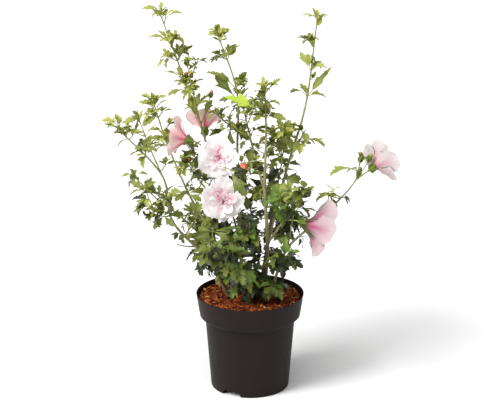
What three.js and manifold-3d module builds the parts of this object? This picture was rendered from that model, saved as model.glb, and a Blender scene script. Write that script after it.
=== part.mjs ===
// A double-flowered hibiscus shrub in its black nursery pot.
// Millimetres, +Z up. The origin is the middle of the flat underside of the pot, and the front faces -Y.
// Eleven canes rise from the bark in the pot. The bare foot of each cane is a limb, and its upper part is
// the stem of a mass of leaves. Side shoots on the canes carry the other masses, and stalks the blooms.
import * as THREE from "three";
import { mergeVertices } from "three/addons/utils/BufferGeometryUtils.js";
import Module from "manifold-3d";

const wasm = await Module();
wasm.setup();

// Clearance between neighbours, and how much larger a leaf is taken to be while it is tested against them
const GAP = 0.35;
const LEAF_MARGIN = 0.9;

// Pot: a tapered wall, a shoulder, and a deep rim band above it
const POT_HEIGHT = 210;
const RIM_RADIUS = 115;
const BAND_FOOT_RADIUS = 107.5;
const BAND_FOOT = 162;
const SHOULDER_FOOT = 154.5;
const BODY_TOP_RADIUS = 96;
const POT_FOOT_RADIUS = 84;
const FOOT_CHAMFER = 3;
const RIM_CHAMFER = 1;
const WALL = 2.4;
const BASE_THICKNESS = 13;
const POT_SIDES = 36;

// Two drain notches are cut up into the foot, opposite each other
const NOTCH_HEADINGS = [-119, 61];
const NOTCH_WIDTH = 48;
const NOTCH_TOP_WIDTH = 34;
const NOTCH_HEIGHT = 12;
const NOTCH_DEPTH = 32;
const CUT_OVERRUN = 2;

// Bark mulch fills the pot to just under its rim
const BARK_TOP = 198;
const BARK_FLAT_RADIUS = 94;
const BARK_EDGE_DROP = 2;
const GROUND = BARK_TOP + GAP;

// Canes and twigs
const LIMB_CORNERS = 6;
const LIMB_STEP = 34;
const TWIG_CORNERS = 3;
const TWIG_STEP = 32;
const ROOT_FLARE = 0.4;
const FLARE_LENGTH = 14;
const SHOOT_THICK = [3.4, 2.2];
const BOUGH_THICK = [5, 2.2];
// A shoot is no thicker at its foot than this share of its parent's radius
const SHOOT_SHARE = 1.7;

// Twigs: one for each TWIG_EVERY of a leafy stem, spread over this share of it. The first stands TWIG_TURN
// radians round from the first leaf. A pair of numbers gives the least and the most of what is drawn at
// random.
const TWIG_THICK = [2.6, 1.8];
const TWIG_LENGTH = [25.6, 38.4];
const TWIG_EVERY = 48;
const TWIG_SPREAD = [0.1, 0.85];
const TWIG_ANGLE = 50;
const TWIG_TURN = 1.3;
const TWIG_LIFT = 0.12;

// Leaves: each is a kite that arches, from a root sunk through its twig. Lengths include the stalk.
// LEAF_SIDE and LEAF_KEEL are shares of the length: where it is widest and its half width, and where its
// underside is lowest and how low. LEAF_CLEAR is the bare length below the first leaf of a mass. Angles are
// in degrees, turns round a stem in radians.
const LEAF_SIDE = [0.5, 0.29];
const LEAF_KEEL = [0.3, 0.05];
const LEAF_SUNK = 1.3;
const LEAF_CLEAR = 8;
const LEAF_SIZE = [0.9, 1.1];
const LEAF_TURN = THREE.MathUtils.degToRad(137.5);
const LEAF_TURN_SPREAD = [-0.25, 0.25];
const LEAF_ANGLE = [62, 30];
const LEAF_ANGLE_SPREAD = [-7, 7];
const LEAF_BEND = [34, 56];
// How large the leaves are along a stem: least + more * sin(PI * (start + over * share of the stem))
const FULLNESS = { least: 0.82, more: 0.26, start: 0.2, over: 0.95 };
const TWIG_LEAF = { share: 0.75, place: 0.55, angle: 55, bend: 34 };

// A tuft of small steep leaves closes each stem and twig
const TUFT = { share: 0.66, size: [0.8, 1.1], angle: [22, 34], bend: 24, start: 1.5, step: 3.5 };
const TUFT_COUNT = 3;
const TWIG_TUFT_COUNT = 2;

// A leaf whose place is taken is turned round its stem by each of these in turn, and then left out
const NUDGES = [0, 0.5, -0.5, 1, -1];
// Leaves hang lower the lower they grow: at LEVEL_HEIGHT they neither hang nor rise
const LEVEL_HEIGHT = 520;
const HANG_RANGE = 420;
const HANG_LIMITS = [-0.1, 0.6];
const LEAF_FACES_UP = 1.1;
// A mass keeps within its leaf's length and this much more of its stem
const REACH_MORE = 46;
const REACH_SAMPLES = 12;

// Buds: shares of their length
const BUD = [[0, -0.1], [0.27, 0.35], [0.16, 0.8], [0, 1]];

// A corolla is a cup with a five-lobed rim, and a double one holds a crumpled dome of small petals
const PETALS = 5;
const PETAL_THICKNESS = 2.2;
const PETAL_BEND = 40;
const PETAL_WAVE = 0.13;
const DOUBLE_WAVE = 0.05;
const THROAT_RADIUS = 4;
const DOME_WAVE = 0.2;
// Shares of the petals' length where the points of a corolla lie, and how far it dips in its middle
const COROLLA_SHARES = { outside: [0, 0.55, 1], inside: [0.96, 0.4] };
const COROLLA_DEPTH = 3;

const COLOURS = {
  pot: [0x2b2829, 0.45],
  bark: [0x7a3519, 0.95],
  cane: [0x857250, 0.8],
  leaf: [0x4f7a2a, 0.6],
  young_leaf: [0x86a83a, 0.6],
  pale_petal: [0xf6dfe6, 0.7],
  pink_petal: [0xe59aae, 0.7],
};

// Canes. foot is [x, y] on the bark, and path goes on from there through points [x, y, z]. thick is the
// diameter at the foot and at the tip, bare the height where the leaves start, leaf their length and gap
// their spacing.
const CANES = {
  left_tall: {
    foot: [-25, 42], path: [[-52, 70, 325], [-92, 115, 500], [-137, 145, 630], [-190, 172, 774]],
    thick: [8, 2.4], bare: 575, leaf: 48, gap: 25, young: true,
  },
  left: {
    foot: [-36, 28], path: [[-76, 48, 312], [-132, 84, 404], [-181, 122, 512], [-207, 138, 592]],
    thick: [7, 2.4], bare: 440, leaf: 46, gap: 24, young: true,
  },
  far_left: {
    foot: [-46, 4], path: [[-88, -14, 288], [-160, -58, 387], [-180, -80, 494], [-270, -112, 606]],
    thick: [7.5, 2.4], bare: 510, leaf: 46, gap: 20, young: true,
  },
  low_left: {
    foot: [-44, 56], path: [[-77, 80, 277], [-153, 120, 342], [-205, 143, 375], [-248, 154, 416]],
    thick: [6, 2.4], bare: 345, leaf: 48, gap: 20,
  },
  middle: {
    foot: [-18, 62], path: [[-20, 70, 315], [-27, 92, 490], [-28, 115, 622], [-70, 140, 745]],
    thick: [8, 2.4], bare: 612, leaf: 46, gap: 23, young: true,
  },
  main: {
    foot: [30, 20], path: [[37, 5, 320], [31, -8, 440], [33, -20, 570], [30, -34, 664]],
    thick: [10, 2.6], bare: 558, leaf: 50, gap: 21,
  },
  right_tall: {
    foot: [24, 72], path: [[43, 85, 310], [80, 108, 455], [120, 136, 590], [143, 155, 770]],
    thick: [8, 2.4], bare: 605, leaf: 48, gap: 27, young: true,
  },
  far_right: {
    foot: [42, -4], path: [[76, 0, 303], [135, -18, 370], [197, -40, 442], [222, -50, 480]],
    thick: [6.5, 3], bare: 480,
  },
  back_left: {
    foot: [-14, 90], path: [[-30, 130, 310], [-62, 185, 385], [-84, 222, 430]],
    thick: [6, 2.4], bare: 345, leaf: 58, gap: 18,
  },
  back_right: {
    foot: [26, 88], path: [[46, 140, 330], [66, 185, 420], [76, 210, 480]],
    thick: [6, 2.4], bare: 385, leaf: 56, gap: 19,
  },
  front: {
    foot: [-8, -22], path: [[-18, -56, 270], [-46, -104, 332], [-76, -138, 372]],
    thick: [5.5, 2.4], bare: 226, leaf: 58, gap: 20,
  },
};

// Side shoots. Each leaves the cane named first at height z, towards heading (0 is +X, 90 is +Y) and rise,
// in degrees, for length, and bends up by lift. bare is its leafless length: from BOUGH_LEAST it is a limb.
const BOUGH_LEAST = 50;
const shoot = (on, z, heading, rise, length, leaf, more) => (
  { on, z, heading, rise, length, leaf, lift: 0.08 * length, bare: 10, gap: 14, ...more }
);
const SHOOTS = {
  left_fork: shoot("far_left", 486, 141, 58, 122, 44, { bare: 52, gap: 18, young: true }),
  middle_right: shoot("main", 433, 112, 50, 214, 50, { bare: 92, gap: 18 }),
  front_right: shoot("main", 317, 307, 50, 188, 50, { bare: 118, gap: 17, lift: 2 }),
  low_bud: shoot("left_tall", 379, 211, 50, 132, 38, { bare: 82, gap: 16, bud: 17 }),
  left_bud: shoot("left_tall", 535, 207, 76, 142, 36, { bare: 46, gap: 22, bud: 17, young: true }),
  far_right_buds: shoot("far_right", 474, 20, 76, 40, 40, { bare: 14, gap: 16, bud: 17, young: true }),
  far_right_leaf: shoot("far_right", 432, 178, 30, 16, 50, { bare: 4, gap: 14, young: true }),
  left_big: shoot("far_left", 408, 176, 12, 50, 60),
  left_low: shoot("far_left", 322, 205, 10, 44, 50),
  left_inner: shoot("left", 288, 222, 10, 72, 60),
  under_bloom: shoot("left_tall", 470, 203, 12, 50, 50),
  middle_low: shoot("middle", 256, 248, 4, 90, 60, { bare: 20 }),
  middle_bud: shoot("middle", 470, 282, 4, 58, 52, { bare: 16, bud: 20 }),
  middle_high: shoot("middle", 540, 188, 36, 56, 46),
  middle_waist: shoot("middle", 330, 205, 14, 72, 60),
  main_low_left: shoot("main", 240, 236, 6, 62, 60),
  main_waist: shoot("main", 334, 196, 14, 66, 60),
  main_bright: shoot("main", 402, 330, 16, 48, 60, { gap: 13 }),
  soil_leaf: shoot("far_right", 236, 262, 4, 56, 56),
  right_low: shoot("far_right", 296, 272, 10, 60, 60, { gap: 13 }),
  right_dark: shoot("right_tall", 396, 222, 18, 62, 58),
  right_broad: shoot("right_tall", 456, 168, 62, 70, 60, { bare: 14 }),
  right_fan: shoot("right_tall", 488, 350, 58, 56, 58, { bare: 16, gap: 13 }),
  back_low: shoot("middle", 292, 78, 22, 88, 60, { bare: 18 }),
  back_right_low: shoot("right_tall", 318, 54, 8, 90, 60, { bare: 18 }),
  back_left_low: shoot("left_tall", 318, 152, 16, 88, 60, { bare: 18 }),
};

// Blooms. Each stands on a stalk from the cane or shoot named in on, at height z. base is where its petals
// start, facing the way it looks, petal the length of its petals and open their angle from facing.
const BLOOMS = {
  double_upper: {
    on: "middle", z: 462, base: [-72, 58, 492], facing: [-0.05, -0.95, 0.22],
    petal: 46, open: 48, double: true,
  },
  double_lower: {
    on: "middle", z: 378, base: [-64, 30, 408], facing: [0.15, -0.95, 0.2],
    petal: 48, open: 48, double: true,
  },
  left_outer: {
    on: "left_tall", z: 492, base: [-129, 54, 531], facing: [-0.92, 0.34, 0.14], petal: 54, open: 24,
  },
  left_inner: {
    on: "left_tall", z: 505, base: [-98, 142, 527], facing: [-0.11, 0.7, 0.7], petal: 53, open: 18,
  },
  low_right: {
    on: "front_right", z: 385, base: [108, -108, 400], facing: [0.83, 0.34, -0.44], petal: 74, open: 27,
  },
  far_right: {
    on: "far_right", z: 474, base: [252, -58, 503], facing: [0.76, 0.56, 0.33], petal: 56, open: 31,
  },
  back: {
    on: "left_tall", z: 408, base: [-74, 142, 444], facing: [0.03, 0.93, 0.35],
    petal: 44, open: 38, double: true,
  },
};
const STALK_THICK = [3.4, 2.8];
const STALK_CORNERS = 4;
const CALYX_LENGTH = 9;
const CALYX = [[0, -CALYX_LENGTH], [6.2, 1], [6.4, 6], [0, 5]];
// Shares of the petals' length: the dome of small petals in a double bloom, and the column in a single one
const DOME = [[0, 0], [0.46, 0.5], [0.28, 0.68], [0, 0.6]];
const COLUMN = [[0, 0], [0.06, 0.5], [0, 0.66]];

// The same numbers on every run, from a linear congruential generator
function seeded(seed) {
  let state = (seed * 7919 + 17) >>> 0;
  return () => {
    state = (Math.imul(state, 1664525) + 1013904223) >>> 0;
    return state / 2 ** 32;
  };
}

const { lerp, clamp, degToRad } = THREE.MathUtils;
const UP = new THREE.Vector3(0, 0, 1);
const vector = (x, y, z) => new THREE.Vector3(x, y, z);

// Unit vector of the direction v, less its part along the unit vector axis
const squared = (v, axis) => v.clone().addScaledVector(axis, -v.dot(axis)).normalize();

// A closed three.js geometry as a solid, with its repeated vertices merged
function solidOf(geometry) {
  const bare = geometry.clone();
  bare.deleteAttribute("normal");
  bare.deleteAttribute("uv");
  const merged = mergeVertices(bare, 1e-4);
  const index = merged.index.array;
  const triangles = [];
  for (let i = 0; i < index.length; i += 3) {
    const [a, b, c] = index.slice(i, i + 3);
    if (a !== b && b !== c && c !== a) triangles.push(a, b, c);
  }
  return new wasm.Manifold(new wasm.Mesh({
    numProp: 3,
    vertProperties: new Float32Array(merged.attributes.position.array),
    triVerts: new Uint32Array(triangles),
  }));
}

// A solid back as a three.js geometry
function geometryOf(solid) {
  const mesh = solid.getMesh();
  const geometry = new THREE.BufferGeometry();
  geometry.setAttribute("position", new THREE.BufferAttribute(mesh.vertProperties, 3));
  geometry.setIndex(new THREE.BufferAttribute(mesh.triVerts, 1));
  geometry.computeVertexNormals();
  return geometry;
}

// The largest body of a solid: loose scraps are dropped, and a hollow that fusing sealed is filled
function largest(solid) {
  return solid.decompose().reduce((most, body) => (body.volume() > most.volume() ? body : most));
}

// Pieces fused into one body
function fused(pieces) {
  return largest(pieces.reduce((sum, piece) => sum.add(piece)));
}

// A profile of [radius, height] points turned round axis, from base. wave widens and narrows it PETALS
// times round, by a share of its radius that grows towards the rim.
function turned(profile, corners, base, axis, wave = 0) {
  const geometry = new THREE.LatheGeometry(profile.map(([r, h]) => new THREE.Vector2(r, h)), corners);
  const widest = Math.max(...profile.map(([r]) => r));
  const place = geometry.attributes.position;
  for (let i = 0; i < place.count; i++) {
    const [x, z] = [place.getX(i), place.getZ(i)];
    const share = (Math.hypot(x, z) / widest) ** 2;
    const more = 1 + wave * share * Math.cos(PETALS * Math.atan2(x, z));
    place.setXYZ(i, x * more, place.getY(i), z * more);
  }
  geometry.applyQuaternion(new THREE.Quaternion().setFromUnitVectors(vector(0, 1, 0), axis));
  geometry.translate(base.x, base.y, base.z);
  return solidOf(geometry);
}

// A stem along a smooth curve through points, with a thickness that tapers from its foot to its tip
class Stem {
  constructor(points, thick, grounded = false) {
    this.curve = new THREE.CatmullRomCurve3(points, false, "catmullrom", 0.5);
    this.length = this.curve.getLength();
    this.thick = thick;
    this.grounded = grounded;
    const chord = points[points.length - 1].clone().sub(points[0]).normalize();
    this.across = squared(Math.abs(chord.y) < 0.7 ? vector(0, 1, 0) : vector(1, 0, 0), chord);
  }
  point(distance) {
    return this.curve.getPointAt(clamp(distance / this.length, 0, 1));
  }
  // The way it grows. A cane leaves the ground square to it, which makes its cut foot flat.
  along(distance) {
    if (this.grounded && distance <= 0) return UP.clone();
    return this.curve.getTangentAt(clamp(distance / this.length, 0, 1));
  }
  radius(distance) {
    const flare = this.grounded ? ROOT_FLARE * Math.exp(-distance / FLARE_LENGTH) : 0;
    return (lerp(this.thick[0], this.thick[1], distance / this.length) / 2) * (1 + flare);
  }
  // Directions across it at an angle round it
  aside(distance, angle) {
    const along = this.along(distance);
    const first = squared(this.across, along);
    const second = along.cross(first);
    return first.multiplyScalar(Math.cos(angle)).addScaledVector(second, Math.sin(angle));
  }
  // How far along it first reaches this height
  distanceAt(height) {
    let distance = 0;
    while (distance < this.length && this.point(distance).z < height) distance += 1;
    return Math.min(distance, this.length);
  }
}

// The solid of a stem between two distances along it, thickened by more
function tube(stem, from, to, corners, step, more = 0) {
  const steps = Math.max(1, Math.round((to - from) / step));
  const geometry = new THREE.CylinderGeometry(1, 1, 1, corners, steps);
  const place = geometry.attributes.position;
  for (let i = 0; i < place.count; i++) {
    const distance = lerp(from, to, place.getY(i) + 0.5);
    const out = Math.hypot(place.getX(i), place.getZ(i)) * (stem.radius(distance) + more);
    const angle = Math.atan2(-place.getZ(i), place.getX(i));
    const spot = stem.point(distance).addScaledVector(stem.aside(distance, angle), out);
    place.setXYZ(i, spot.x, spot.y, spot.z);
  }
  return solidOf(geometry);
}

// A leaf from root towards forward. up is square to forward, and the leaf arches away from it by bend
// degrees. more makes it larger all round.
function leafBlade({ root, forward, up }, length, bend, more = 0) {
  const across = up.clone().cross(forward);
  const turn = degToRad(bend);
  const radius = (length + more) / turn;
  const place = (share, wide, high) => {
    const angle = turn * share;
    return root.clone()
      .addScaledVector(forward, (radius + high) * Math.sin(angle))
      .addScaledVector(up, radius * (Math.cos(angle) - 1) + high * Math.cos(angle))
      .addScaledVector(across, wide);
  };
  const wide = LEAF_SIDE[1] * length + more;
  const vertices = [
    place(0, 0, more),
    place(LEAF_SIDE[0], wide, more),
    place(LEAF_SIDE[0], -wide, more),
    place(1, 0, 0),
    place(LEAF_KEEL[0], 0, -LEAF_KEEL[1] * length - more),
  ];
  const [start, left, right, tip, keel] = [0, 1, 2, 3, 4];
  const faces = [
    start, right, left, left, right, tip,
    start, left, keel, left, tip, keel, tip, right, keel, right, start, keel,
  ];
  const geometry = new THREE.BufferGeometry();
  const numbers = vertices.flatMap((vertex) => vertex.toArray());
  geometry.setAttribute("position", new THREE.Float32BufferAttribute(numbers, 3));
  geometry.setIndex(faces);
  return solidOf(geometry);
}

// What stands where. A leaf or twig is only grown where no other node is, nor another leaf of its own mass.
const taken = [];

function claim(owner, solid, isLeaf = false) {
  taken.push({ owner, solid, isLeaf, box: solid.boundingBox() });
}

function isClear(owner, solid) {
  const box = solid.boundingBox();
  const apart = (other) => [0, 1, 2].some((i) => box.min[i] > other.max[i] || other.min[i] > box.max[i]);
  const own = (other) => other.owner === owner && !other.isLeaf;
  return taken.every((other) => own(other) || apart(other.box) || solid.intersect(other.solid).isEmpty());
}

// Does the point stay within reach of the stem?
function withinReach(stem, point, reach) {
  const shares = Array.from({ length: REACH_SAMPLES + 1 }, (_, i) => i / REACH_SAMPLES);
  const samples = shares.map((share) => stem.point(stem.length * share));
  return Math.min(...samples.map((sample) => sample.distanceTo(point))) < reach;
}

// How a leaf stands on its stem: at an angle from it, and lower the lower it grows
function leafPose(stem, distance, around, angle) {
  const along = stem.along(distance);
  const out = stem.aside(distance, around);
  const root = stem.point(distance);
  const hang = clamp((LEVEL_HEIGHT - root.z) / HANG_RANGE, ...HANG_LIMITS);
  const forward = out.multiplyScalar(Math.sin(degToRad(angle)))
    .addScaledVector(along, Math.cos(degToRad(angle)))
    .addScaledVector(UP, -hang)
    .normalize();
  const up = squared(along.addScaledVector(UP, LEAF_FACES_UP), forward);
  return { root: root.addScaledVector(forward, -LEAF_SUNK), forward, up };
}

// Grows one leaf at the first free place near around
function growLeaf(mass, stem, distance, around, length, angle, bend) {
  for (const nudge of NUDGES) {
    const pose = leafPose(stem, distance, around + nudge, angle);
    const tip = pose.root.clone().addScaledVector(pose.forward, length);
    if (!withinReach(mass.stem, tip, mass.reach)) continue;
    if (!isClear(mass.name, leafBlade(pose, length, bend, LEAF_MARGIN))) continue;
    const leaf = leafBlade(pose, length, bend);
    claim(mass.name, leaf, true);
    mass.pieces.push(leaf);
    return;
  }
}

// A few small steep leaves at the tip of a stem
function growTuft(mass, stem, leaf, count, random) {
  const start = random() * 2 * Math.PI;
  for (let i = 0; i < count; i++) {
    const around = start + (i * 2 * Math.PI) / count;
    const length = leaf * lerp(...TUFT.size, random());
    const distance = stem.length - TUFT.start - i * TUFT.step;
    growLeaf(mass, stem, distance, around, length, lerp(...TUFT.angle, random()), TUFT.bend);
  }
}

// A side twig with its own leaves
function growTwig(mass, distance, around, leaf, random) {
  const start = mass.stem.point(distance);
  const heading = mass.stem.aside(distance, around).multiplyScalar(Math.sin(degToRad(TWIG_ANGLE)))
    .addScaledVector(mass.stem.along(distance), Math.cos(degToRad(TWIG_ANGLE)));
  const length = lerp(...TWIG_LENGTH, random());
  const middle = start.clone().addScaledVector(heading, length / 2);
  const end = start.clone().addScaledVector(heading, length).addScaledVector(UP, length * TWIG_LIFT);
  const twig = new Stem([start, middle, end], TWIG_THICK);
  const leafTurn = random() * 2 * Math.PI;
  const size = leaf * TWIG_LEAF.share;
  const leafLength = size * lerp(...LEAF_SIZE, random());
  if (!isClear(mass.name, tube(twig, 0, twig.length, TWIG_CORNERS, TWIG_STEP, LEAF_MARGIN))) return;
  const solid = tube(twig, 0, twig.length, TWIG_CORNERS, TWIG_STEP);
  claim(mass.name, solid);
  mass.pieces.push(solid);
  growLeaf(mass, twig, twig.length * TWIG_LEAF.place, leafTurn, leafLength, TWIG_LEAF.angle, TWIG_LEAF.bend);
  growTuft(mass, twig, size, TWIG_TUFT_COUNT, random);
}

// The leaves of one stem, one after another round it: largest a third of the way up, small at the tip
function growMass(mass) {
  const random = seeded(mass.seed);
  const { stem, spec } = mass;
  const from = mass.from + LEAF_CLEAR;
  const span = stem.length - from;
  const start = random() * 2 * Math.PI;
  const twigs = Math.round(span / TWIG_EVERY);
  for (let i = 0; i < twigs; i++) {
    const distance = from + span * lerp(...TWIG_SPREAD, (i + 0.5) / twigs);
    growTwig(mass, distance, start + TWIG_TURN + i * LEAF_TURN, spec.leaf, random);
  }
  const count = Math.max(1, Math.round(span / spec.gap));
  for (let i = 0; i < count; i++) {
    const share = i / count;
    const swell = Math.sin(Math.PI * (FULLNESS.start + FULLNESS.over * share));
    const length = spec.leaf * (FULLNESS.least + FULLNESS.more * swell) * lerp(...LEAF_SIZE, random());
    const angle = lerp(...LEAF_ANGLE, share) + lerp(...LEAF_ANGLE_SPREAD, random());
    const around = start + i * LEAF_TURN + lerp(...LEAF_TURN_SPREAD, random());
    growLeaf(mass, stem, from + span * share, around, length, angle, lerp(...LEAF_BEND, random()));
  }
  growTuft(mass, stem, spec.leaf * TUFT.share, TUFT_COUNT, random);
}

// A bud on the tip of a stem
function bud(stem, long) {
  const profile = BUD.map(([radius, height]) => [radius * long, height * long]);
  return turned(profile, PETALS, stem.point(stem.length), stem.along(stem.length));
}

// A point of the pot's wall, inset from its outside at this height
function wallPoint(height, inset) {
  const heights = [FOOT_CHAMFER, SHOULDER_FOOT, BAND_FOOT, POT_HEIGHT];
  const radii = [POT_FOOT_RADIUS, BODY_TOP_RADIUS, BAND_FOOT_RADIUS, RIM_RADIUS];
  const above = Math.max(1, heights.findIndex((edge) => edge >= height));
  const share = (height - heights[above - 1]) / (heights[above] - heights[above - 1]);
  return [lerp(radii[above - 1], radii[above], share) - inset, height];
}

// Pot: wall and solid base, with the drain notches cut into its foot
function pot() {
  const outside = [SHOULDER_FOOT, BAND_FOOT, POT_HEIGHT - RIM_CHAMFER].map((height) => wallPoint(height, 0));
  const heights = [POT_HEIGHT, BAND_FOOT, SHOULDER_FOOT, BASE_THICKNESS];
  const inside = heights.map((height) => wallPoint(height, WALL));
  const profile = [
    [0, 0], [POT_FOOT_RADIUS - FOOT_CHAMFER, 0], [POT_FOOT_RADIUS, FOOT_CHAMFER], ...outside,
    wallPoint(POT_HEIGHT, RIM_CHAMFER), ...inside, [0, BASE_THICKNESS],
  ];
  const notch = new THREE.Shape();
  notch.moveTo(-NOTCH_WIDTH / 2, -CUT_OVERRUN);
  notch.lineTo(NOTCH_WIDTH / 2, -CUT_OVERRUN);
  notch.lineTo(NOTCH_TOP_WIDTH / 2, NOTCH_HEIGHT);
  notch.lineTo(-NOTCH_TOP_WIDTH / 2, NOTCH_HEIGHT);
  return NOTCH_HEADINGS.reduce((body, heading) => {
    const depth = NOTCH_DEPTH + CUT_OVERRUN;
    const cutter = new THREE.ExtrudeGeometry(notch, { depth, bevelEnabled: false });
    cutter.rotateX(Math.PI / 2);
    cutter.rotateZ(degToRad(heading + 90));
    const out = POT_FOOT_RADIUS - NOTCH_DEPTH;
    cutter.translate(out * Math.cos(degToRad(heading)), out * Math.sin(degToRad(heading)), 0);
    return body.subtract(solidOf(cutter));
  }, turned(profile, POT_SIDES, vector(0, 0, 0), UP));
}

// Bark: it follows the inside of the pot all round, GAP clear, and slopes off a little at the wall
function barkMulch() {
  const foot = BASE_THICKNESS + GAP;
  const heights = [foot, SHOULDER_FOOT, BAND_FOOT, BARK_TOP - BARK_EDGE_DROP];
  const side = heights.map((height) => wallPoint(height, WALL + GAP));
  const profile = [[0, foot], ...side, [BARK_FLAT_RADIUS, BARK_TOP], [0, BARK_TOP]];
  return turned(profile, POT_SIDES, vector(0, 0, 0), UP);
}

// The stem of a cane
function caneStem({ foot, path, thick }) {
  const points = [vector(...foot, GROUND), ...path.map((point) => vector(...point))];
  return new Stem(points, thick, true);
}

// The stem of a side shoot, from the middle of its parent outwards
function shootStem(parent, { z, heading, rise, length, lift, bare }) {
  const distance = parent.distanceAt(z);
  const start = parent.point(distance);
  const [turn, climb] = [degToRad(heading), degToRad(rise)];
  const way = vector(Math.cos(turn) * Math.cos(climb), Math.sin(turn) * Math.cos(climb), Math.sin(climb));
  const middle = start.clone().addScaledVector(way, length / 2);
  const end = start.clone().addScaledVector(way, length).addScaledVector(UP, lift);
  const [foot, tip] = bare < BOUGH_LEAST ? SHOOT_THICK : BOUGH_THICK;
  return new Stem([start, middle, end], [Math.min(foot, parent.radius(distance) * SHOOT_SHARE), tip]);
}

// A solid cut back to clear the limb that it grows from
function cutClear(solid, on) {
  const cleared = solid.subtract(tube(stems[on], 0, bareEnds[on], LIMB_CORNERS, LIMB_STEP, GAP));
  return largest(cleared);
}

// The petals together: a wall that runs out from the throat and curls back. Its [radius, height] points go
// along its outside and then back along its inside.
function corollaProfile(length, open) {
  const [from, turn] = [degToRad(open), degToRad(PETAL_BEND)];
  const wall = (share, inset) => {
    const angle = from + turn * share;
    return [
      THROAT_RADIUS + (length / turn) * (Math.cos(from) - Math.cos(angle)) - inset * Math.cos(angle),
      (length / turn) * (Math.sin(angle) - Math.sin(from)) + inset * Math.sin(angle),
    ];
  };
  const outside = COROLLA_SHARES.outside.map((share) => wall(share, 0));
  const inside = COROLLA_SHARES.inside.map((share) => wall(share, PETAL_THICKNESS));
  return [[0, -PETAL_THICKNESS / 2], ...outside, ...inside, [0, inside.at(-1)[1] - COROLLA_DEPTH]];
}

// A bloom: its stalk, calyx and petals in one body, round a column or a dome of small petals
function bloom({ on, z, base, facing, petal, open, double }) {
  const parent = stems[on];
  const distance = parent.distanceAt(z);
  const axis = vector(...facing).normalize();
  const start = vector(...base);
  const behind = start.clone().addScaledVector(axis, -CALYX_LENGTH * 2);
  const stalk = new Stem([parent.point(distance), behind, start], STALK_THICK);
  const sized = (profile) => profile.map(([radius, height]) => [radius * petal, height * petal]);
  const pieces = [
    tube(stalk, 0, stalk.length, STALK_CORNERS, LIMB_STEP),
    turned(CALYX, PETALS, start, axis),
    turned(corollaProfile(petal, open), 2 * PETALS, start, axis, double ? DOUBLE_WAVE : PETAL_WAVE),
    double
      ? turned(sized(DOME), 2 * PETALS, start, axis, DOME_WAVE)
      : turned(sized(COLUMN), PETALS, start, axis),
  ];
  return cutClear(fused(pieces), on);
}

const shrub = new THREE.Group();

// Adds a node to the shrub
function add(name, solid, colour) {
  const [color, roughness] = COLOURS[colour];
  const material = new THREE.MeshStandardMaterial({ color, roughness, metalness: 0 });
  const mesh = new THREE.Mesh(geometryOf(solid), material);
  mesh.name = name;
  shrub.add(mesh);
}

// Adds a limb or a bloom, which the leaves then keep clear of
function addFirm(name, solid, colour) {
  claim(name, solid);
  add(name, solid, colour);
}

addFirm("pot", pot(), "pot");
addFirm("bark_mulch", barkMulch(), "bark");

// Every stem by name, and how far along it the limb goes
const stems = {};
const bareEnds = {};
const masses = [];

// Adds the limb of a stem, up to its distance end
function addLimb(name, kind, stem, end, on) {
  stems[name] = stem;
  bareEnds[name] = end;
  const limb = tube(stem, 0, end, LIMB_CORNERS, LIMB_STEP);
  addFirm(`${kind}_${name}`, on ? cutClear(limb, on) : limb, "cane");
}

// A mass to be grown later, from the distance from along its stem: its solid stem counts as taken at once
function planMass(name, stem, from, spec, solid) {
  const reach = spec.leaf + REACH_MORE;
  const pieces = spec.bud ? [solid, bud(stem, spec.bud)] : [solid];
  pieces.forEach((piece) => claim(`leaves_${name}`, piece));
  masses.push({ name: `leaves_${name}`, stem, from, spec, reach, pieces, seed: masses.length + 1 });
}

// The leafy rest of a stem beyond its limb
const leafyRest = (stem, end) => tube(stem, end + GAP, stem.length, TWIG_CORNERS, TWIG_STEP);

for (const [name, spec] of Object.entries(CANES)) {
  const stem = caneStem(spec);
  const end = spec.leaf ? stem.distanceAt(spec.bare) : stem.length;
  addLimb(name, "cane", stem, end);
  if (spec.leaf) planMass(name, stem, end, spec, leafyRest(stem, end));
}

for (const [name, spec] of Object.entries(SHOOTS)) {
  const stem = shootStem(stems[spec.on], spec);
  if (spec.bare >= BOUGH_LEAST) {
    addLimb(name, "bough", stem, spec.bare, spec.on);
    planMass(name, stem, spec.bare, spec, leafyRest(stem, spec.bare));
  } else {
    const whole = tube(stem, 0, stem.length, TWIG_CORNERS, TWIG_STEP);
    planMass(name, stem, spec.bare, spec, cutClear(whole, spec.on));
  }
}

for (const [name, spec] of Object.entries(BLOOMS)) {
  addFirm(`bloom_${name}`, bloom(spec), spec.double ? "pale_petal" : "pink_petal");
}

for (const mass of masses) {
  growMass(mass);
  add(mass.name, fused(mass.pieces), mass.spec.young ? "young_leaf" : "leaf");
}

export default shrub;
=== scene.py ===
import math
from bisect import bisect_left
from types import SimpleNamespace as Values

import bmesh
import bpy
import numpy as np
from mathutils import Matrix, Vector, noise
from mathutils.kdtree import KDTree


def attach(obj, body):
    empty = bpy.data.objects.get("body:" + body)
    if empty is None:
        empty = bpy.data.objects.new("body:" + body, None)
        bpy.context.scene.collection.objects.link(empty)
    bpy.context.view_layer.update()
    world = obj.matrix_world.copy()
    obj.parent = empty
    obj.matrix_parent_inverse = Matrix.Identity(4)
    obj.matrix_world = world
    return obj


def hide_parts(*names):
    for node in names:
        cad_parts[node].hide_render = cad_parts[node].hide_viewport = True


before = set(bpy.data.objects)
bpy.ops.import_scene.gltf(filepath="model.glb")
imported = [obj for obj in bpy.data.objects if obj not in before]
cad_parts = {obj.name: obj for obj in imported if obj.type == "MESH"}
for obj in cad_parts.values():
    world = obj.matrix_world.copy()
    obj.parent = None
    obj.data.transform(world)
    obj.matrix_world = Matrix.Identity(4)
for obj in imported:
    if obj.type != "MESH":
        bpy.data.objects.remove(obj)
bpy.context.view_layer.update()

# The plant is worked out in millimetres, as its limbs and masses are sized, and its meshes are in metres
MM = 0.001
TURN = 2 * math.pi
UP = Vector((0, 0, 1))

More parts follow.
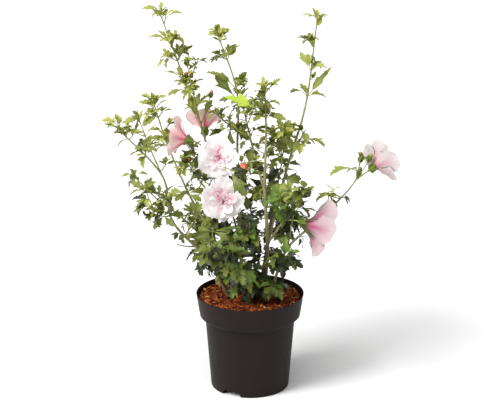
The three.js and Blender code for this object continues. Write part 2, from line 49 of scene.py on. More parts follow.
# Camera: it stands in front of the pot and looks down on its rim, at the photograph's angle
CAMERA_DISTANCE = 3.5
CAMERA_ELEVATION = math.radians(20.5)
PICTURE_WIDTH_PX = 500
FOCAL_PX = 1633
RIM_BELOW_MIDDLE_PX = 92
SENSOR_WIDTH = 36

# Pot, in millimetres
POT_HEIGHT = 210
RIM_RADIUS = 115
BAND_FOOT_RADIUS = 107.5
BAND_FOOT = 162
SHOULDER_FOOT = 154.5
BODY_TOP_RADIUS = 96
POT_FOOT_RADIUS = 84
FOOT_CHAMFER = 3
WALL = 2.4
BASE_THICKNESS = 13
NOTCH_HEADINGS = (-119, 61)
NOTCH_WIDTH = 48
NOTCH_TOP_WIDTH = 34
NOTCH_HEIGHT = 12
NOTCH_DEPTH = 32
CUT_MORE = 2
POT_SIDES = 144
GAP = 0.35
BARK_TOP = 198
GROUND = BARK_TOP + GAP

# Canes, twigs and leaves: the same rule and values as the solids grow by
ROOT_FLARE = 0.4
FLARE_LENGTH = 14
SHOOT_THICK = (3.4, 2.2)
BOUGH_THICK = (5, 2.2)
SHOOT_SHARE = 1.7
TWIG_THICK = (2.6, 1.8)
TWIG_LENGTH = (25.6, 38.4)
TWIG_EVERY = 48
TWIG_SPREAD = (0.1, 0.85)
TWIG_ANGLE = 50
TWIG_TURN = 1.3
TWIG_LIFT = 0.12
TWIG_PROBES = (0.4, 0.6, 0.8, 1)
# Where leaves gather at nodes, the twigs have this share of their usual length
NODE_TWIG = 0.45
LEAF_SUNK = 1.3
LEAF_CLEAR = 8
LEAF_SIZE = (0.9, 1.1)
LEAF_TURN = math.radians(137.5)
LEAF_TURN_SPREAD = (-0.25, 0.25)
LEAF_ANGLE = (62, 30)
LEAF_ANGLE_SPREAD = (-7, 7)
LEAF_BEND = (34, 56)
FULLNESS = Values(least=0.82, more=0.26, start=0.2, over=0.95)
TWIG_LEAF = Values(share=0.75, place=0.55, angle=55, bend=34)
TUFT = Values(share=0.66, size=(0.8, 1.1), angle=(22, 34), bend=24, start=1.5, step=3.5)
TUFT_COUNT = 3
TWIG_TUFT_COUNT = 2
NUDGES = (0, 0.5, -0.5, 1, -1)
LEVEL_HEIGHT = 520
HANG_RANGE = 420
HANG_LIMITS = (-0.1, 0.6)
LEAF_FACES_UP = 1.1
REACH_MORE = 46
REACH_SAMPLES = 12

# Finer growth: in the axils of the leaves stand rosettes, which are short shoots whose leaves spread from one
# place like a vase, with the outer ones longest. Others stand on spurs along the bare canes, and there are
# more leaves between where it is dense. Each leaf is rolled a little round its midrib, and arches more.
ROSETTE = Values(
    length=(4, 12), lift=0.25, thick=(1.8, 1.2), angle=32, leaves=5, size=(0.85, 1.15), smallest=0.42,
    spread=(54, 8), spread_more=(-9, 9), bend=(40, 85), lowest=0.5)
ROSETTE_LEAF = 0.72
AXIL_TURN = 0.3
TWIG_AXIL_TURN = 0.6
TIP_ROSETTE = Values(leaf=0.9, leaves=6, length=7)
SPUR = Values(lowest=262, highest=470, leaf=(26, 38), gap=(0.7, 1.3))
LEAF_ROLL = 0.5
LEAF_ARCH_MORE = 1.35
# Below this height each leaf has a second rosette beside it, and more leaves. rows are their turns from it,
# in radians, and their shares of its length.
DENSE_BELOW = 400
DENSE_LEAF = 0.82
DENSE_ROSETTE = Values(turn=2.6, further=2)
DENSE_MORE = Values(
    rows=((3.4, 0.9), (1.7, 0.8), (5.0, 0.7), (0.9, 0.75)), further=4, angle=58, bend=50)
# Every kind of growth draws its own numbers, from these seeds on
SEEDS = Values(chips=77, mass=500, spur=700, spray=800, flowers=901)

# Canes. foot is where a cane leaves the mulch, path the points after it, and thick its thickness at foot and
# tip. It is bare up to the height bare. leaf is its longest leaf, gap the distance from leaf to leaf, and
# spur_gap that from spur to spur.
CANES = {
    "left_tall": dict(
        foot=(-25, 42), path=((-52, 70, 325), (-92, 115, 500), (-137, 145, 630), (-190, 172, 774)),
        thick=(8, 2.4), bare=575, leaf=48, gap=25, young=True, spur_gap=38),
    "left": dict(
        foot=(-36, 28), path=((-76, 48, 312), (-132, 84, 404), (-181, 122, 512), (-207, 138, 592)),
        thick=(7, 2.4), bare=440, leaf=46, gap=24, young=True, spur_gap=34),
    "far_left": dict(
        foot=(-46, 4), path=((-88, -14, 288), (-160, -58, 387), (-180, -80, 494), (-270, -112, 606)),
        thick=(7.5, 2.4), bare=510, leaf=46, gap=20, young=True, spur_gap=40),
    "low_left": dict(
        foot=(-44, 56), path=((-77, 80, 277), (-153, 120, 342), (-205, 143, 375), (-248, 154, 416)),
        thick=(6, 2.4), bare=345, leaf=48, gap=20, spur_gap=34),
    "middle": dict(
        foot=(-18, 62), path=((-20, 70, 315), (-27, 92, 490), (-28, 115, 622), (-70, 140, 745)),
        thick=(8, 2.4), bare=612, leaf=46, gap=23, young=True, spur_gap=46),
    "main": dict(
        foot=(30, 20), path=((37, 5, 320), (31, -8, 440), (33, -20, 570), (30, -34, 664)),
        thick=(10, 2.6), bare=558, leaf=50, gap=21, spur_gap=80),
    "right_tall": dict(
        foot=(24, 72), path=((43, 85, 310), (80, 108, 455), (120, 136, 590), (143, 155, 770)),
        thick=(8, 2.4), bare=605, leaf=48, gap=27, young=True, spur_gap=50),
    "far_right": dict(
        foot=(42, -4), path=((76, 0, 303), (135, -18, 370), (197, -40, 442), (222, -50, 480)),
        thick=(6.5, 3), bare=480, spur_gap=70),
    "back_left": dict(
        foot=(-14, 90), path=((-30, 130, 310), (-62, 185, 385), (-84, 222, 430)),
        thick=(6, 2.4), bare=345, leaf=58, gap=18, spur_gap=30),
    "back_right": dict(
        foot=(26, 88), path=((46, 140, 330), (66, 185, 420), (76, 210, 480)),
        thick=(6, 2.4), bare=385, leaf=56, gap=19, spur_gap=30),
    "front": dict(
        foot=(-8, -22), path=((-18, -56, 270), (-46, -104, 332), (-76, -138, 372)),
        thick=(5.5, 2.4), bare=226, leaf=58, gap=20),
}

# Shoots spring from a stem at the height z. One that is bare for this length or more starts as a bough.
BOUGH_LEAST = 50


def shoot(on, z, heading, rise, length, leaf, **more):
    start = dict(on=on, z=z, heading=heading, rise=rise, length=length, leaf=leaf)
    return {**start, "lift": 0.08 * length, "bare": 10, "gap": 14, **more}


SHOOTS = {
    "left_fork": shoot("far_left", 486, 141, 58, 122, 44, bare=52, gap=18, young=True),
    "middle_right": shoot("main", 433, 112, 50, 214, 50, bare=92, gap=18),
    "front_right": shoot("main", 317, 307, 50, 188, 50, bare=118, gap=17, lift=2),
    "low_bud": shoot("left_tall", 379, 211, 50, 132, 38, bare=82, gap=16, bud=17),
    "left_bud": shoot("left_tall", 535, 207, 76, 142, 36, bare=46, gap=22, bud=17, young=True),
    "far_right_buds": shoot("far_right", 474, 20, 76, 40, 40, bare=14, gap=16, bud=17, young=True),
    "far_right_leaf": shoot("far_right", 432, 178, 30, 16, 50, bare=4, gap=14, young=True),
    "left_big": shoot("far_left", 408, 176, 12, 50, 60),
    "left_low": shoot("far_left", 322, 205, 10, 44, 50),
    "left_inner": shoot("left", 288, 222, 10, 72, 60),
    "under_bloom": shoot("left_tall", 470, 203, 12, 50, 50),
    "middle_low": shoot("middle", 256, 248, 4, 90, 60, bare=20),
    "middle_bud": shoot("middle", 470, 282, 4, 58, 52, bare=16, bud=20),
    "middle_high": shoot("middle", 540, 188, 36, 56, 46),
    "middle_waist": shoot("middle", 330, 205, 14, 72, 60),
    "main_low_left": shoot("main", 240, 236, 6, 62, 60),
    "main_waist": shoot("main", 334, 196, 14, 66, 60),
    # This shoot's leaves are all bright ones, partly painted light on the front of the foliage
    "main_bright": shoot("main", 402, 330, 16, 48, 60, gap=13, colour="bright"),
    "soil_leaf": shoot("far_right", 236, 262, 4, 56, 56),
    "right_low": shoot("far_right", 296, 272, 10, 60, 60, gap=13),
    "right_dark": shoot("right_tall", 396, 222, 18, 62, 58),
    "right_broad": shoot("right_tall", 456, 168, 62, 70, 60, bare=14),
    "right_fan": shoot("right_tall", 488, 350, 58, 56, 58, bare=16, gap=13),
    "back_low": shoot("middle", 292, 78, 22, 88, 60, bare=18),
    "back_right_low": shoot("right_tall", 318, 54, 8, 90, 60, bare=18),
    "back_left_low": shoot("left_tall", 318, 152, 16, 88, 60, bare=18),
}

# Blooms. tint is the colour of the petals, and turned how far they are turned round their axis, in radians.
# In a double one, heart is how far its middle lies off its base, and long where its longest petals are.
# Rose is paler and glows most, as painted light for blooms in shade; pink and blush are set darker for full
# light
BLOOMS = {
    "double_upper": dict(
        on="middle", z=462, base=(-72, 58, 492), facing=(-0.05, -0.95, 0.22),
        petal=46, open=48, double=True, heart=(8, 0, 1), long=50),
    "double_lower": dict(
        on="middle", z=378, base=(-64, 30, 408), facing=(0.15, -0.95, 0.2),
        petal=48, open=48, double=True, heart=(9, 0, -5), long=20),
    "left_outer": dict(
        on="left_tall", z=492, base=(-129, 54, 531), facing=(-0.92, 0.34, 0.14),
        petal=54, open=24, double=False, tint="rose", turned=0.93),
    "left_inner": dict(
        on="left_tall", z=505, base=(-98, 142, 527), facing=(-0.11, 0.7, 0.7),
        petal=53, open=18, double=False, tint="rose", turned=1.18),
    "low_right": dict(
        on="front_right", z=385, base=(108, -108, 400), facing=(0.83, 0.34, -0.44),
        petal=74, open=27, double=False, tint="pink", turned=0.22, bracts=2.3),
    "far_right": dict(
        on="far_right", z=474, base=(252, -58, 503), facing=(0.76, 0.56, 0.33),
        petal=56, open=31, double=False, tint="blush", turned=0.55),
    "back": dict(
        on="left_tall", z=408, base=(-74, 142, 444), facing=(0.03, 0.93, 0.35),
        petal=44, open=38, double=True, heart=(4, 0, 3), long=90),
}


def mirrored(rows):
    """The same habit with its left and right swapped"""
    return tuple(((180 - heading) % 360, *rest) for heading, *rest in rows)


# Habits of a spray, as the leaves round its tip: heading, rise where they start, length as a share of the
# longest, and the degrees that they arch by. A heading of 0 is to the right and 270 is to the front.
TO_LEFT = (
    (182, 50, 1.0, 80), (215, 66, 0.72, 55), (340, 62, 0.5, 50), (100, 68, 0.62, 40), (280, 78, 0.5, 30),
    (30, 82, 0.4, 20))
FAN_TO_LEFT = ((172, 66, 1.0, 34), (238, 72, 0.8, 30), (110, 78, 0.8, 24), (20, 80, 0.4, 24))
HABITS = {
    "both": (
        (182, 52, 1.0, 84), (358, 52, 0.95, 80), (262, 62, 0.66, 60), (95, 64, 0.7, 50), (225, 74, 0.6, 40),
        (40, 78, 0.5, 30), (310, 84, 0.42, 20)),
    "left": TO_LEFT,
    "right": mirrored(TO_LEFT),
    "vase": (
        (178, 64, 1.0, 44), (2, 66, 1.0, 44), (262, 66, 0.9, 50), (95, 70, 0.9, 34), (225, 76, 0.85, 40),
        (322, 76, 0.85, 40), (40, 80, 0.75, 24)),
    "fan_left": FAN_TO_LEFT,
    "fan_right": mirrored(FAN_TO_LEFT),
    "upright": (
        (352, 62, 1.0, 24), (80, 80, 0.6, 20), (205, 76, 0.55, 30), (275, 74, 0.5, 40), (150, 58, 0.5, 60)),
    "level": (
        (178, 14, 1.0, 60), (5, 17, 1.0, 60), (245, 10, 0.95, 60), (300, 12, 0.95, 60), (110, 22, 0.8, 50),
        (60, 27, 0.8, 50)),
    "hanging": (
        (200, -5, 1.0, 60), (340, -10, 0.95, 60), (270, -35, 0.95, 50), (160, 15, 0.8, 60),
        (20, 20, 0.8, 60)),
    "long_left": ((186, 48, 1.0, 62), (20, 60, 0.3, 40)),
    "long_right": ((356, 56, 1.0, 16), (20, 80, 0.25, 30)),
    "arching": ((180, 30, 1.0, 95),),
    "one_left": ((188, 46, 1.0, 30), (215, 20, 0.55, 50)),
    "one_level": ((196, 24, 1.0, 24),),
    "one_hanging": ((275, -20, 1.0, 60),),
}
# Habits whose leaves turn their faces to the front. The others turn them up to the light.
FACING_HABITS = (
    "level", "hanging", "one_left", "one_level", "one_hanging", "long_right", "fan_left", "fan_right")
# Sprays at set places, in their order: a stem, and for each spray the height there, heading, rise and length
# of its twig, habit, longest leaf and colour
# Of the colours, deep is partly painted shade, set on sprays low down and inside, and bright is partly
# painted light
SPRAYS_BY_STEM = (
    ("left_tall",
     (774, 150, 75, 6, "left", 50, "tip"), (757, 20, 78, 17, "right", 44, "tip"),
     (712, 178, 50, 10, "left", 52, "tip"), (702, 190, 40, 4, "fan_left", 20, "young"),
     (680, 10, 55, 8, "vase", 42, "young"), (628, 190, 55, 26, "both", 44, "tip"),
     (618, 190, 30, 5, "fan_left", 34, "tip"), (572, 200, 70, 6, "vase", 50, "young"),
     (556, 190, 45, 12, "fan_left", 46, "young"), (548, 350, 60, 30, "fan_right", 40, "young"),
     (492, 195, 20, 26, "hanging", 50, "mid"), (420, 200, 20, 30, "left", 46, "mid")),
    ("middle",
     (742, 170, 70, 3, "both", 28, "tip"), (724, 190, 40, 3, "both", 22, "young"),
     (688, 10, 65, 6, "fan_right", 38, "young"), (630, 185, 40, 6, "long_left", 76, "young"),
     (606, 200, 30, 6, "one_left", 68, "mid"), (545, 200, 20, 24, "hanging", 54, "mid"),
     (500, 190, 30, 20, "left", 36, "mid"), (440, 320, 20, 30, "hanging", 54, "deep"),
     (420, 300, 10, 24, "hanging", 52, "mid")),
    ("right_tall",
     (770, 0, 85, 2, "both", 38, "tip"), (750, 350, 60, 4, "fan_right", 28, "tip"),
     (712, 190, 60, 4, "fan_left", 34, "young"), (660, 190, 62, 6, "fan_left", 48, "tip"),
     (606, 0, 50, 5, "long_right", 84, "young"), (606, 190, 60, 3, "fan_left", 32, "young"),
     (500, 200, 50, 20, "vase", 56, "young"), (470, 300, 40, 24, "vase", 54, "young"),
     (430, 250, 20, 30, "level", 54, "mid")),
    ("main",
     (628, 215, 0, 34, "one_level", 72, "lime"), (650, 60, 70, 4, "upright", 46, "young"),
     (600, 10, 30, 14, "right", 34, "mid"), (520, 195, 30, 20, "left", 34, "mid"),
     (476, 198, 15, 104, "one_hanging", 78, "mid"), (480, 190, 12, 40, "level", 46, "deep"),
     (375, 190, 10, 16, "level", 40, "deep"), (275, 150, 10, 30, "level", 50, "deep")),
    ("right_tall",
     (275, 250, 5, 30, "level", 50, "deep")),
    ("front",
     (372, 92, 60, 26, "level", 44, "mid")),
    ("main",
     (400, 345, 15, 18, "fan_right", 62, "bright"), (330, 340, 10, 20, "level", 46, "mid"),
     (262, 215, 10, 30, "level", 54, "mid")),
    ("left",
     (590, 120, 60, 6, "both", 36, "tip"), (575, 175, 40, 12, "left", 38, "tip"),
     (560, 20, 55, 16, "right", 30, "tip"), (530, 350, 50, 26, "right", 32, "young"),
     (500, 190, 40, 18, "left", 36, "young"), (400, 250, 30, 24, "level", 44, "young")),
    ("low_left",
     (416, 160, 50, 10, "both", 34, "young"), (392, 40, 60, 16, "both", 34, "young"),
     (362, 220, 20, 20, "hanging", 46, "mid")),
    ("far_left",
     (600, 40, 60, 8, "both", 42, "tip"), (575, 330, 50, 16, "right", 32, "tip"),
     (540, 200, 40, 16, "left", 36, "young"), (500, 20, 50, 20, "right", 38, "young"),
     (440, 200, 20, 22, "left", 46, "mid"), (400, 215, 10, 20, "level", 50, "mid"),
     (350, 10, 58, 58, "vase", 44, "young")),
    ("far_right",
     (310, 60, 72, 116, "left", 50, "young")),
    ("far_right_buds",
     (492, 180, 40, 5, "arching", 64, "young")),
    ("far_right",
     (432, 175, 50, 6, "arching", 56, "mid"), (430, 178, 20, 30, "one_hanging", 38, "deep")),
)
SPRAYS = [(on, *row) for on, *rows in SPRAYS_BY_STEM for row in rows]
# Places that stay open between the sprays: a point and a radius
OPEN_PLACES = (
    (-20, 130, 672, 22), (7, -30, 660, 16), (58, -20, 630, 20), (172, 155, 745, 14), (140, 120, 545, 30),
    (50, -20, 558, 18), (46, -20, 528, 15), (-38, 60, 548, 15), (-245, -90, 540, 24), (-243, 150, 380, 26),
    (-230, 130, 352, 24), (-198, 100, 328, 22), (-205, 0, 350, 20), (-150, -40, 320, 30),
    (-128, -10, 298, 24), (-115, -20, 265, 18), (90, -10, 275, 22), (93, -80, 405, 20), (118, -75, 425, 16),
    (105, -40, 400, 18), (-146, 172, 732, 15), (-110, 165, 700, 16), (-106, 150, 675, 16),
    (-196, 172, 690, 16), (-36, 60, 690, 14), (-70, 60, 660, 13), (168, 150, 706, 14), (173, 150, 728, 13),
    (154, 150, 680, 10), (153, 150, 726, 13), (118, 140, 574, 16),
)
# Faces of the blooms and the great bud that nothing stands before: a point and a radius
OPEN_FACES = (
    (-98, 108, 548, 24), (-76, 112, 566, 20), (-122, 112, 552, 16), (-168, 20, 525, 20), (-150, 0, 540, 18),
    (-52, 12, 496, 24), (-88, 8, 498, 24), (-70, 10, 470, 20), (-82, -20, 418, 20), (-60, -24, 395, 20),
    (-10, 10, 492, 16), (140, -150, 400, 30), (120, -150, 360, 24), (262, -90, 520, 30),
)
# The main cane shows from the front between these heights: leaves keep this far from a line before it
BARE_FRONT = Values(cane="main", low=225, high=600, step=12, before=20, above=0.3, radius=11)
# How far the leaves of a spray stray from its habit, where they stand on its twig, and how much that sags
SPRAY = Values(
    turn=(-14, 14), climb=(-7, 7), size=(0.92, 1.06), root=(1, 0.75), bend=(0.8, 1.2),
    roll=(-0.35, 0.35), sag=0.06)
# Leaves of a spray longer than this are wedges, but for the rest of the share
WEDGE_FROM = 24
WEDGE_SHARE = 0.8
# The ways that leaves face: up to the light, or to the front
TO_LIGHT = Vector((-0.05, -0.25, 1))
TO_FRONT = Vector((-0.1, -1, 0.75))
PETALS = 5
THROAT_RADIUS = 4


# Numbers and directions

def lerp(low, high, share):
    return low + (high - low) * share


def clamp(value, low, high):
    return min(max(value, low), high)


def dealt(names, shares, luck):
    """The name that a number from 0 to 1 falls to, by shares that rise to 1, one for each name"""
    return names[bisect_left(shares, luck)]


def seeded(seed):
    """The same numbers on every run, from the generator that the solids grow by"""
    state = (seed * 7919 + 17) % 2**32

    def draw():
        nonlocal state
        state = (state * 1664525 + 1013904223) % 2**32
        return state / 2**32

    return draw


def way_of(heading, rise):
    """The unit vector at a heading and a rise in degrees"""
    turn, climb = math.radians(heading), math.radians(rise)
    return Vector((math.cos(turn) * math.cos(climb), math.sin(turn) * math.cos(climb), math.sin(climb)))


def squared(direction, axis):
    """Unit vector of the direction, less its part along the unit vector axis"""
    return (direction - axis * direction.dot(axis)).normalized()


def around_axis(axis):
    """Two unit vectors square to the axis and to each other"""
    first = squared(Vector((1, 0, 0)) if abs(axis.x) < 0.7 else Vector((0, 1, 0)), axis)
    return first, axis.cross(first)


class Stem:
    """A stem along a smooth curve through points, with a thickness that tapers from its foot to its tip"""

    def __init__(self, points, thick, grounded=False, steps=200):
        self.points = [Vector(point) for point in points]
        self.thick = thick
        self.grounded = grounded
        self.steps = steps
        marks = [self.curve(i / steps) for i in range(steps + 1)]
        self.lengths = [0.0]
        for start, end in zip(marks, marks[1:]):
            self.lengths.append(self.lengths[-1] + (end - start).length)
        self.length = self.lengths[-1]
        chord = (self.points[-1] - self.points[0]).normalized()
        self.across = squared(Vector((0, 1, 0)) if abs(chord.y) < 0.7 else Vector((1, 0, 0)), chord)

    def curve(self, share):
        spans = len(self.points) - 1
        index = min(int(share * spans), spans - 1)
        step = share * spans - index
        points = self.points
        ends = [2 * points[0] - points[1], *points, 2 * points[-1] - points[-2]]
        before, start, end, after = ends[index:index + 4]
        leave, arrive = (end - before) / 2, (after - start) / 2
        bend = 3 * (end - start) - 2 * leave - arrive
        return start + (leave + (bend + (2 * (start - end) + leave + arrive) * step) * step) * step

    def share(self, distance):
        distance = clamp(distance, 0, self.length)
        index = clamp(bisect_left(self.lengths, distance), 1, self.steps)
        before, after = self.lengths[index - 1], self.lengths[index]
        return (index - 1 + (distance - before) / (after - before)) / self.steps

    def point(self, distance):
        return self.curve(self.share(distance))

    def along(self, distance):
        if self.grounded and distance <= 0:
            return UP.copy()
        share = self.share(distance)
        return (self.curve(min(share + 1e-4, 1)) - self.curve(max(share - 1e-4, 0))).normalized()

    def radius(self, distance):
        flare = ROOT_FLARE * math.exp(-distance / FLARE_LENGTH) if self.grounded else 0
        return lerp(*self.thick, distance / self.length) / 2 * (1 + flare)

    def aside(self, distance, angle):
        along = self.along(distance)
        first = squared(self.across, along)
        return first * math.cos(angle) + along.cross(first) * math.sin(angle)

    def distance_at(self, height):
        distance = 0
        while distance < self.length and self.point(distance).z < height:
            distance += 1
        return min(distance, self.length)


# Meshes

class Shape:
    """Points, faces and a map of one small shape, to be repeated. Its map runs across and along it."""

    def __init__(self, bm, mapped=None):
        bm.verts.ensure_lookup_table()
        self.points = np.array([vertex.co[:] for vertex in bm.verts])
        self.faces = [tuple(vertex.index for vertex in face.verts) for face in bm.faces]
        spots = mapped or [vertex.co[:2] for vertex in bm.verts]
        self.map = np.array([spots[index] for face in self.faces for index in face])
        bm.free()


class Heap:
    """Many small shapes of one kind, joined into one mesh"""

    def __init__(self):
        self.points = []
        self.faces = []
        self.map = []
        self.count = 0

    def add(self, shape, points):
        self.points.append(points)
        self.faces += [tuple(index + self.count for index in face) for face in shape.faces]
        self.map.append(shape.map)
        self.count += len(points)

    def build(self, name, material, slot, nodes):
        mesh = bpy.data.meshes.new(name)
        mesh.from_pydata(np.concatenate(self.points) * MM, [], self.faces)
        layer = mesh.uv_layers.new(name="across_along")
        layer.uv.foreach_set("vector", np.concatenate(self.map).astype(np.float32).ravel())
        return piece(name, mesh, material, nodes)


def new_object(name, data):
    thing = bpy.data.objects.new(name, data)
    bpy.context.scene.collection.objects.link(thing)
    return thing


def piece(name, mesh, material, nodes):
    """A mesh as a smooth piece of the shrub that stands for these nodes, if it stands for any"""
    mesh.materials.append(material)
    mesh.shade_smooth()
    thing = new_object(name, mesh)
    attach(thing, "root")
    if nodes:
        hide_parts(*nodes)
    return thing


def along_ways(base, *parts):
    """Points off a base: each part is how far they lie along a direction, and that direction"""
    points = np.array(base)
    for distances, way in parts:
        points = points + np.outer(distances, way)
    return points


def mesh_of(bm, name):
    """A mesh from a bmesh in millimetres"""
    bmesh.ops.scale(bm, vec=(MM, MM, MM), verts=bm.verts)
    mesh = bpy.data.meshes.new(name)
    bm.to_mesh(mesh)
    bm.free()
    return mesh


def edges_along(bm, axis):
    """The edges of a unit shape that run along its x, y or z axis"""
    return [edge for edge in bm.edges if abs(edge.verts[0].co[axis] - edge.verts[1].co[axis]) > 0.5]


def rod_mesh(sides, cuts):
    """A closed rod of unit radius from z 0 to 1, with rings between"""
    bm = bmesh.new()
    bmesh.ops.create_cone(
        bm, cap_ends=True, cap_tris=False, segments=sides, radius1=1, radius2=1, depth=1,
        matrix=Matrix.Translation((0, 0, 0.5)))
    if cuts:
        bmesh.ops.subdivide_edges(bm, edges=edges_along(bm, 2), cuts=cuts)
    return bm


def laid_grid(rows, columns, place):
    """A grid and its map. place gives a point for how far across it lies, from -1 to 1, and how far along."""
    bm = bmesh.new()
    bmesh.ops.create_grid(bm, x_segments=columns, y_segments=rows, size=1)
    mapped = []
    for vertex in bm.verts:
        across, along = vertex.co.x, (vertex.co.y + 1) / 2
        mapped.append((across / 2 + 0.5, along))
        vertex.co = Vector(place(across, along))
    return bm, mapped


def spun(profile, sides, merge):
    """A skin that turns radius and height points round z. Points nearer than merge become one."""
    bm = bmesh.new()
    points = [bm.verts.new((radius, 0, height)) for radius, height in profile]
    edges = [bm.edges.new(pair) for pair in zip(points, points[1:])]
    bmesh.ops.spin(
        bm, geom=points + edges, cent=(0, 0, 0), axis=(0, 0, 1), angle=TURN, steps=sides, use_merge=True)
    bmesh.ops.remove_doubles(bm, verts=bm.verts, dist=merge)
    return bm


def along_stem(points, stem, start, end, swell=None):
    """Points of a unit rod, laid along a stretch of a stem"""
    places = []
    for x, y, z in points:
        distance = lerp(start, end, z)
        angle = math.atan2(y, x)
        out = math.hypot(x, y) * stem.radius(distance)
        if swell:
            out += swell(distance, angle)
        places.append(stem.point(distance) + stem.aside(distance, angle) * out)
    return np.array(places)


def lay_rod(kind, rod, stem, start=0, swell=None):
    """Adds a rod along a stem, from a distance on it to its tip, to the heap of its kind"""
    heap(kind).add(rod, along_stem(rod.points, stem, start, stem.length, swell))


ROD = Shape(rod_mesh(6, 3))
LONG_ROD = Shape(rod_mesh(7, 14))
SPRIG_ROD = Shape(rod_mesh(4, 1))


# Leaves. A form lists, up the midrib, where a side vein starts, how long it is and its angle to the midrib,
# all as shares of the leaf's length: the ends of the veins are the leaf's edge.
LEAF_STALK = 0.2
LEAF_FORMS = {
    "wedge": (
        (0, 0.03, 50), (0.1, 0.08, 42), (0.22, 0.18, 40), (0.34, 0.34, 45), (0.42, 0.38, 47), (0.53, 0.2, 38),
        (0.66, 0.23, 36), (0.8, 0.16, 32), (0.92, 0.07, 28), (1, 0.008, 20)),
    "slender": (
        (0, 0.03, 60), (0.08, 0.09, 58), (0.2, 0.19, 50), (0.34, 0.18, 44), (0.42, 0.1, 40), (0.52, 0.15, 38),
        (0.64, 0.12, 36), (0.78, 0.08, 32), (0.9, 0.05, 28), (1, 0.008, 20)),
    "lobed": (
        (0, 0.03, 66), (0.07, 0.16, 64), (0.17, 0.38, 58), (0.28, 0.34, 52), (0.4, 0.17, 48),
        (0.53, 0.23, 44), (0.66, 0.2, 40), (0.78, 0.14, 36), (0.9, 0.07, 32), (1, 0.008, 20)),
    "broad": (
        (0, 0.03, 68), (0.07, 0.2, 68), (0.18, 0.36, 60), (0.3, 0.36, 54), (0.44, 0.29, 50), (0.58, 0.26, 46),
        (0.7, 0.2, 42), (0.82, 0.13, 36), (0.92, 0.06, 30), (1, 0.008, 20)),
    "small": (
        (0, 0.04, 64), (0.12, 0.18, 62), (0.27, 0.36, 56), (0.42, 0.28, 50), (0.58, 0.26, 44),
        (0.74, 0.18, 38), (0.88, 0.09, 32), (1, 0.01, 20)),
    "narrow": (
        (0, 0.03, 52), (0.12, 0.13, 50), (0.27, 0.25, 44), (0.42, 0.22, 40), (0.58, 0.18, 36),
        (0.74, 0.13, 32), (0.88, 0.07, 28), (1, 0.01, 20)),
}
LEAF_TOOTH = 0.13
LEAF_PLEAT = 0.016
LEAF_STALK_RADII = (0.016, 0.012)
LEAF_STALK_BELOW = 0.008


def leaf_shape(form, rows, columns):
    """One flat leaf with its stalk, a unit long from the root of its stalk to its tip, which is at +Y"""
    shares, reaches, angles = zip(*LEAF_FORMS[form])

    def place(side, up):
        row = round(up * rows)
        reach = np.interp(up, shares, reaches) * abs(side)
        if abs(side) > 0.99 and 0 < row < rows:
            reach *= 1 + LEAF_TOOTH * (1 if row % 2 else -1)
        angle = math.radians(np.interp(up, shares, angles))
        wide = reach * math.sin(angle) * (1 if side > 0 else -1)
        pleat = LEAF_PLEAT * abs(side) * (1 if row % 2 else -1)
        return wide, up + reach * math.cos(angle), pleat

    bm, mapped = laid_grid(rows, columns, place)
    longest = max(vertex.co.y for vertex in bm.verts)
    for vertex in bm.verts:
        vertex.co *= (1 - LEAF_STALK) / longest
        vertex.co.y += LEAF_STALK
    middle = Matrix.Translation((0, LEAF_STALK * 0.55, -LEAF_STALK_BELOW))
    stalk = bmesh.ops.create_cone(
        bm, cap_ends=False, segments=3, radius1=LEAF_STALK_RADII[0], radius2=LEAF_STALK_RADII[1],
        depth=LEAF_STALK * 1.1, matrix=middle @ Matrix.Rotation(-math.pi / 2, 4, "X"))
    mapped += [(0.5, 0)] * len(stalk["verts"])
    return Shape(bm, mapped)


# Rows and columns of faces of a leaf of each form
LEAF_FACES = {
    "wedge": (12, 4), "lobed": (13, 4), "broad": (12, 4), "small": (9, 2), "narrow": (8, 2),
    "slender": (11, 2)}
LEAVES = {form: leaf_shape(form, *faces) for form, faces in LEAF_FACES.items()}
# How far a leaf folds up along its midrib, twists towards its tip and droops at its edges
LEAF_FOLD = (0.15, 0.75)
LEAF_FOLD_SLENDER = (0.6, 1.2)
LEAF_TWIST = (-0.5, 0.5)
LEAF_DROOP = (0.4, 1.6)
# Places on a leaf that are tested for room: shares of its length across, along and up
LEAF_PROBES = Values(points=np.array([
    (0, 0.42, 0), (0, 0.62, 0), (0, 0.82, 0), (0, 0.99, 0), (-0.2, 0.58, 0), (0.2, 0.58, 0), (-0.1, 0.78, 0),
    (0.1, 0.78, 0)]))


def leaf_pose(stem, distance, around, angle):
    """How a leaf stands on its stem: at an angle from it, and lower the lower it grows"""
    along = stem.along(distance)
    out = stem.aside(distance, around)
    root = stem.point(distance)
    hang = clamp((LEVEL_HEIGHT - root.z) / HANG_RANGE, *HANG_LIMITS)
    turn = math.radians(angle)
    forward = (out * math.sin(turn) + along * math.cos(turn) - UP * hang).normalized()
    up = squared(along + UP * LEAF_FACES_UP, forward)
    return Values(root=root - forward * LEAF_SUNK, forward=forward, up=up)


def leaf_points(shape, pose, length, bend, fold=0.0, twist=0.0, droop=0.0):
    """The points of a leaf that arches away from the way it faces, folded along its midrib"""
    across = pose.up.cross(pose.forward)
    wide, along, high = shape.points.T
    turn = math.radians(bend)
    radius = length / turn
    blade = np.clip((along - LEAF_STALK) / (1 - LEAF_STALK), 0, 1)
    rise = (high + fold * np.abs(wide) - droop * wide**2 + twist * wide * blade) * length
    angle = turn * along
    return along_ways(
        pose.root,
        ((radius + rise) * np.sin(angle), pose.forward),
        (radius * (np.cos(angle) - 1) + rise * np.cos(angle), pose.up),
        (wide * length, across))


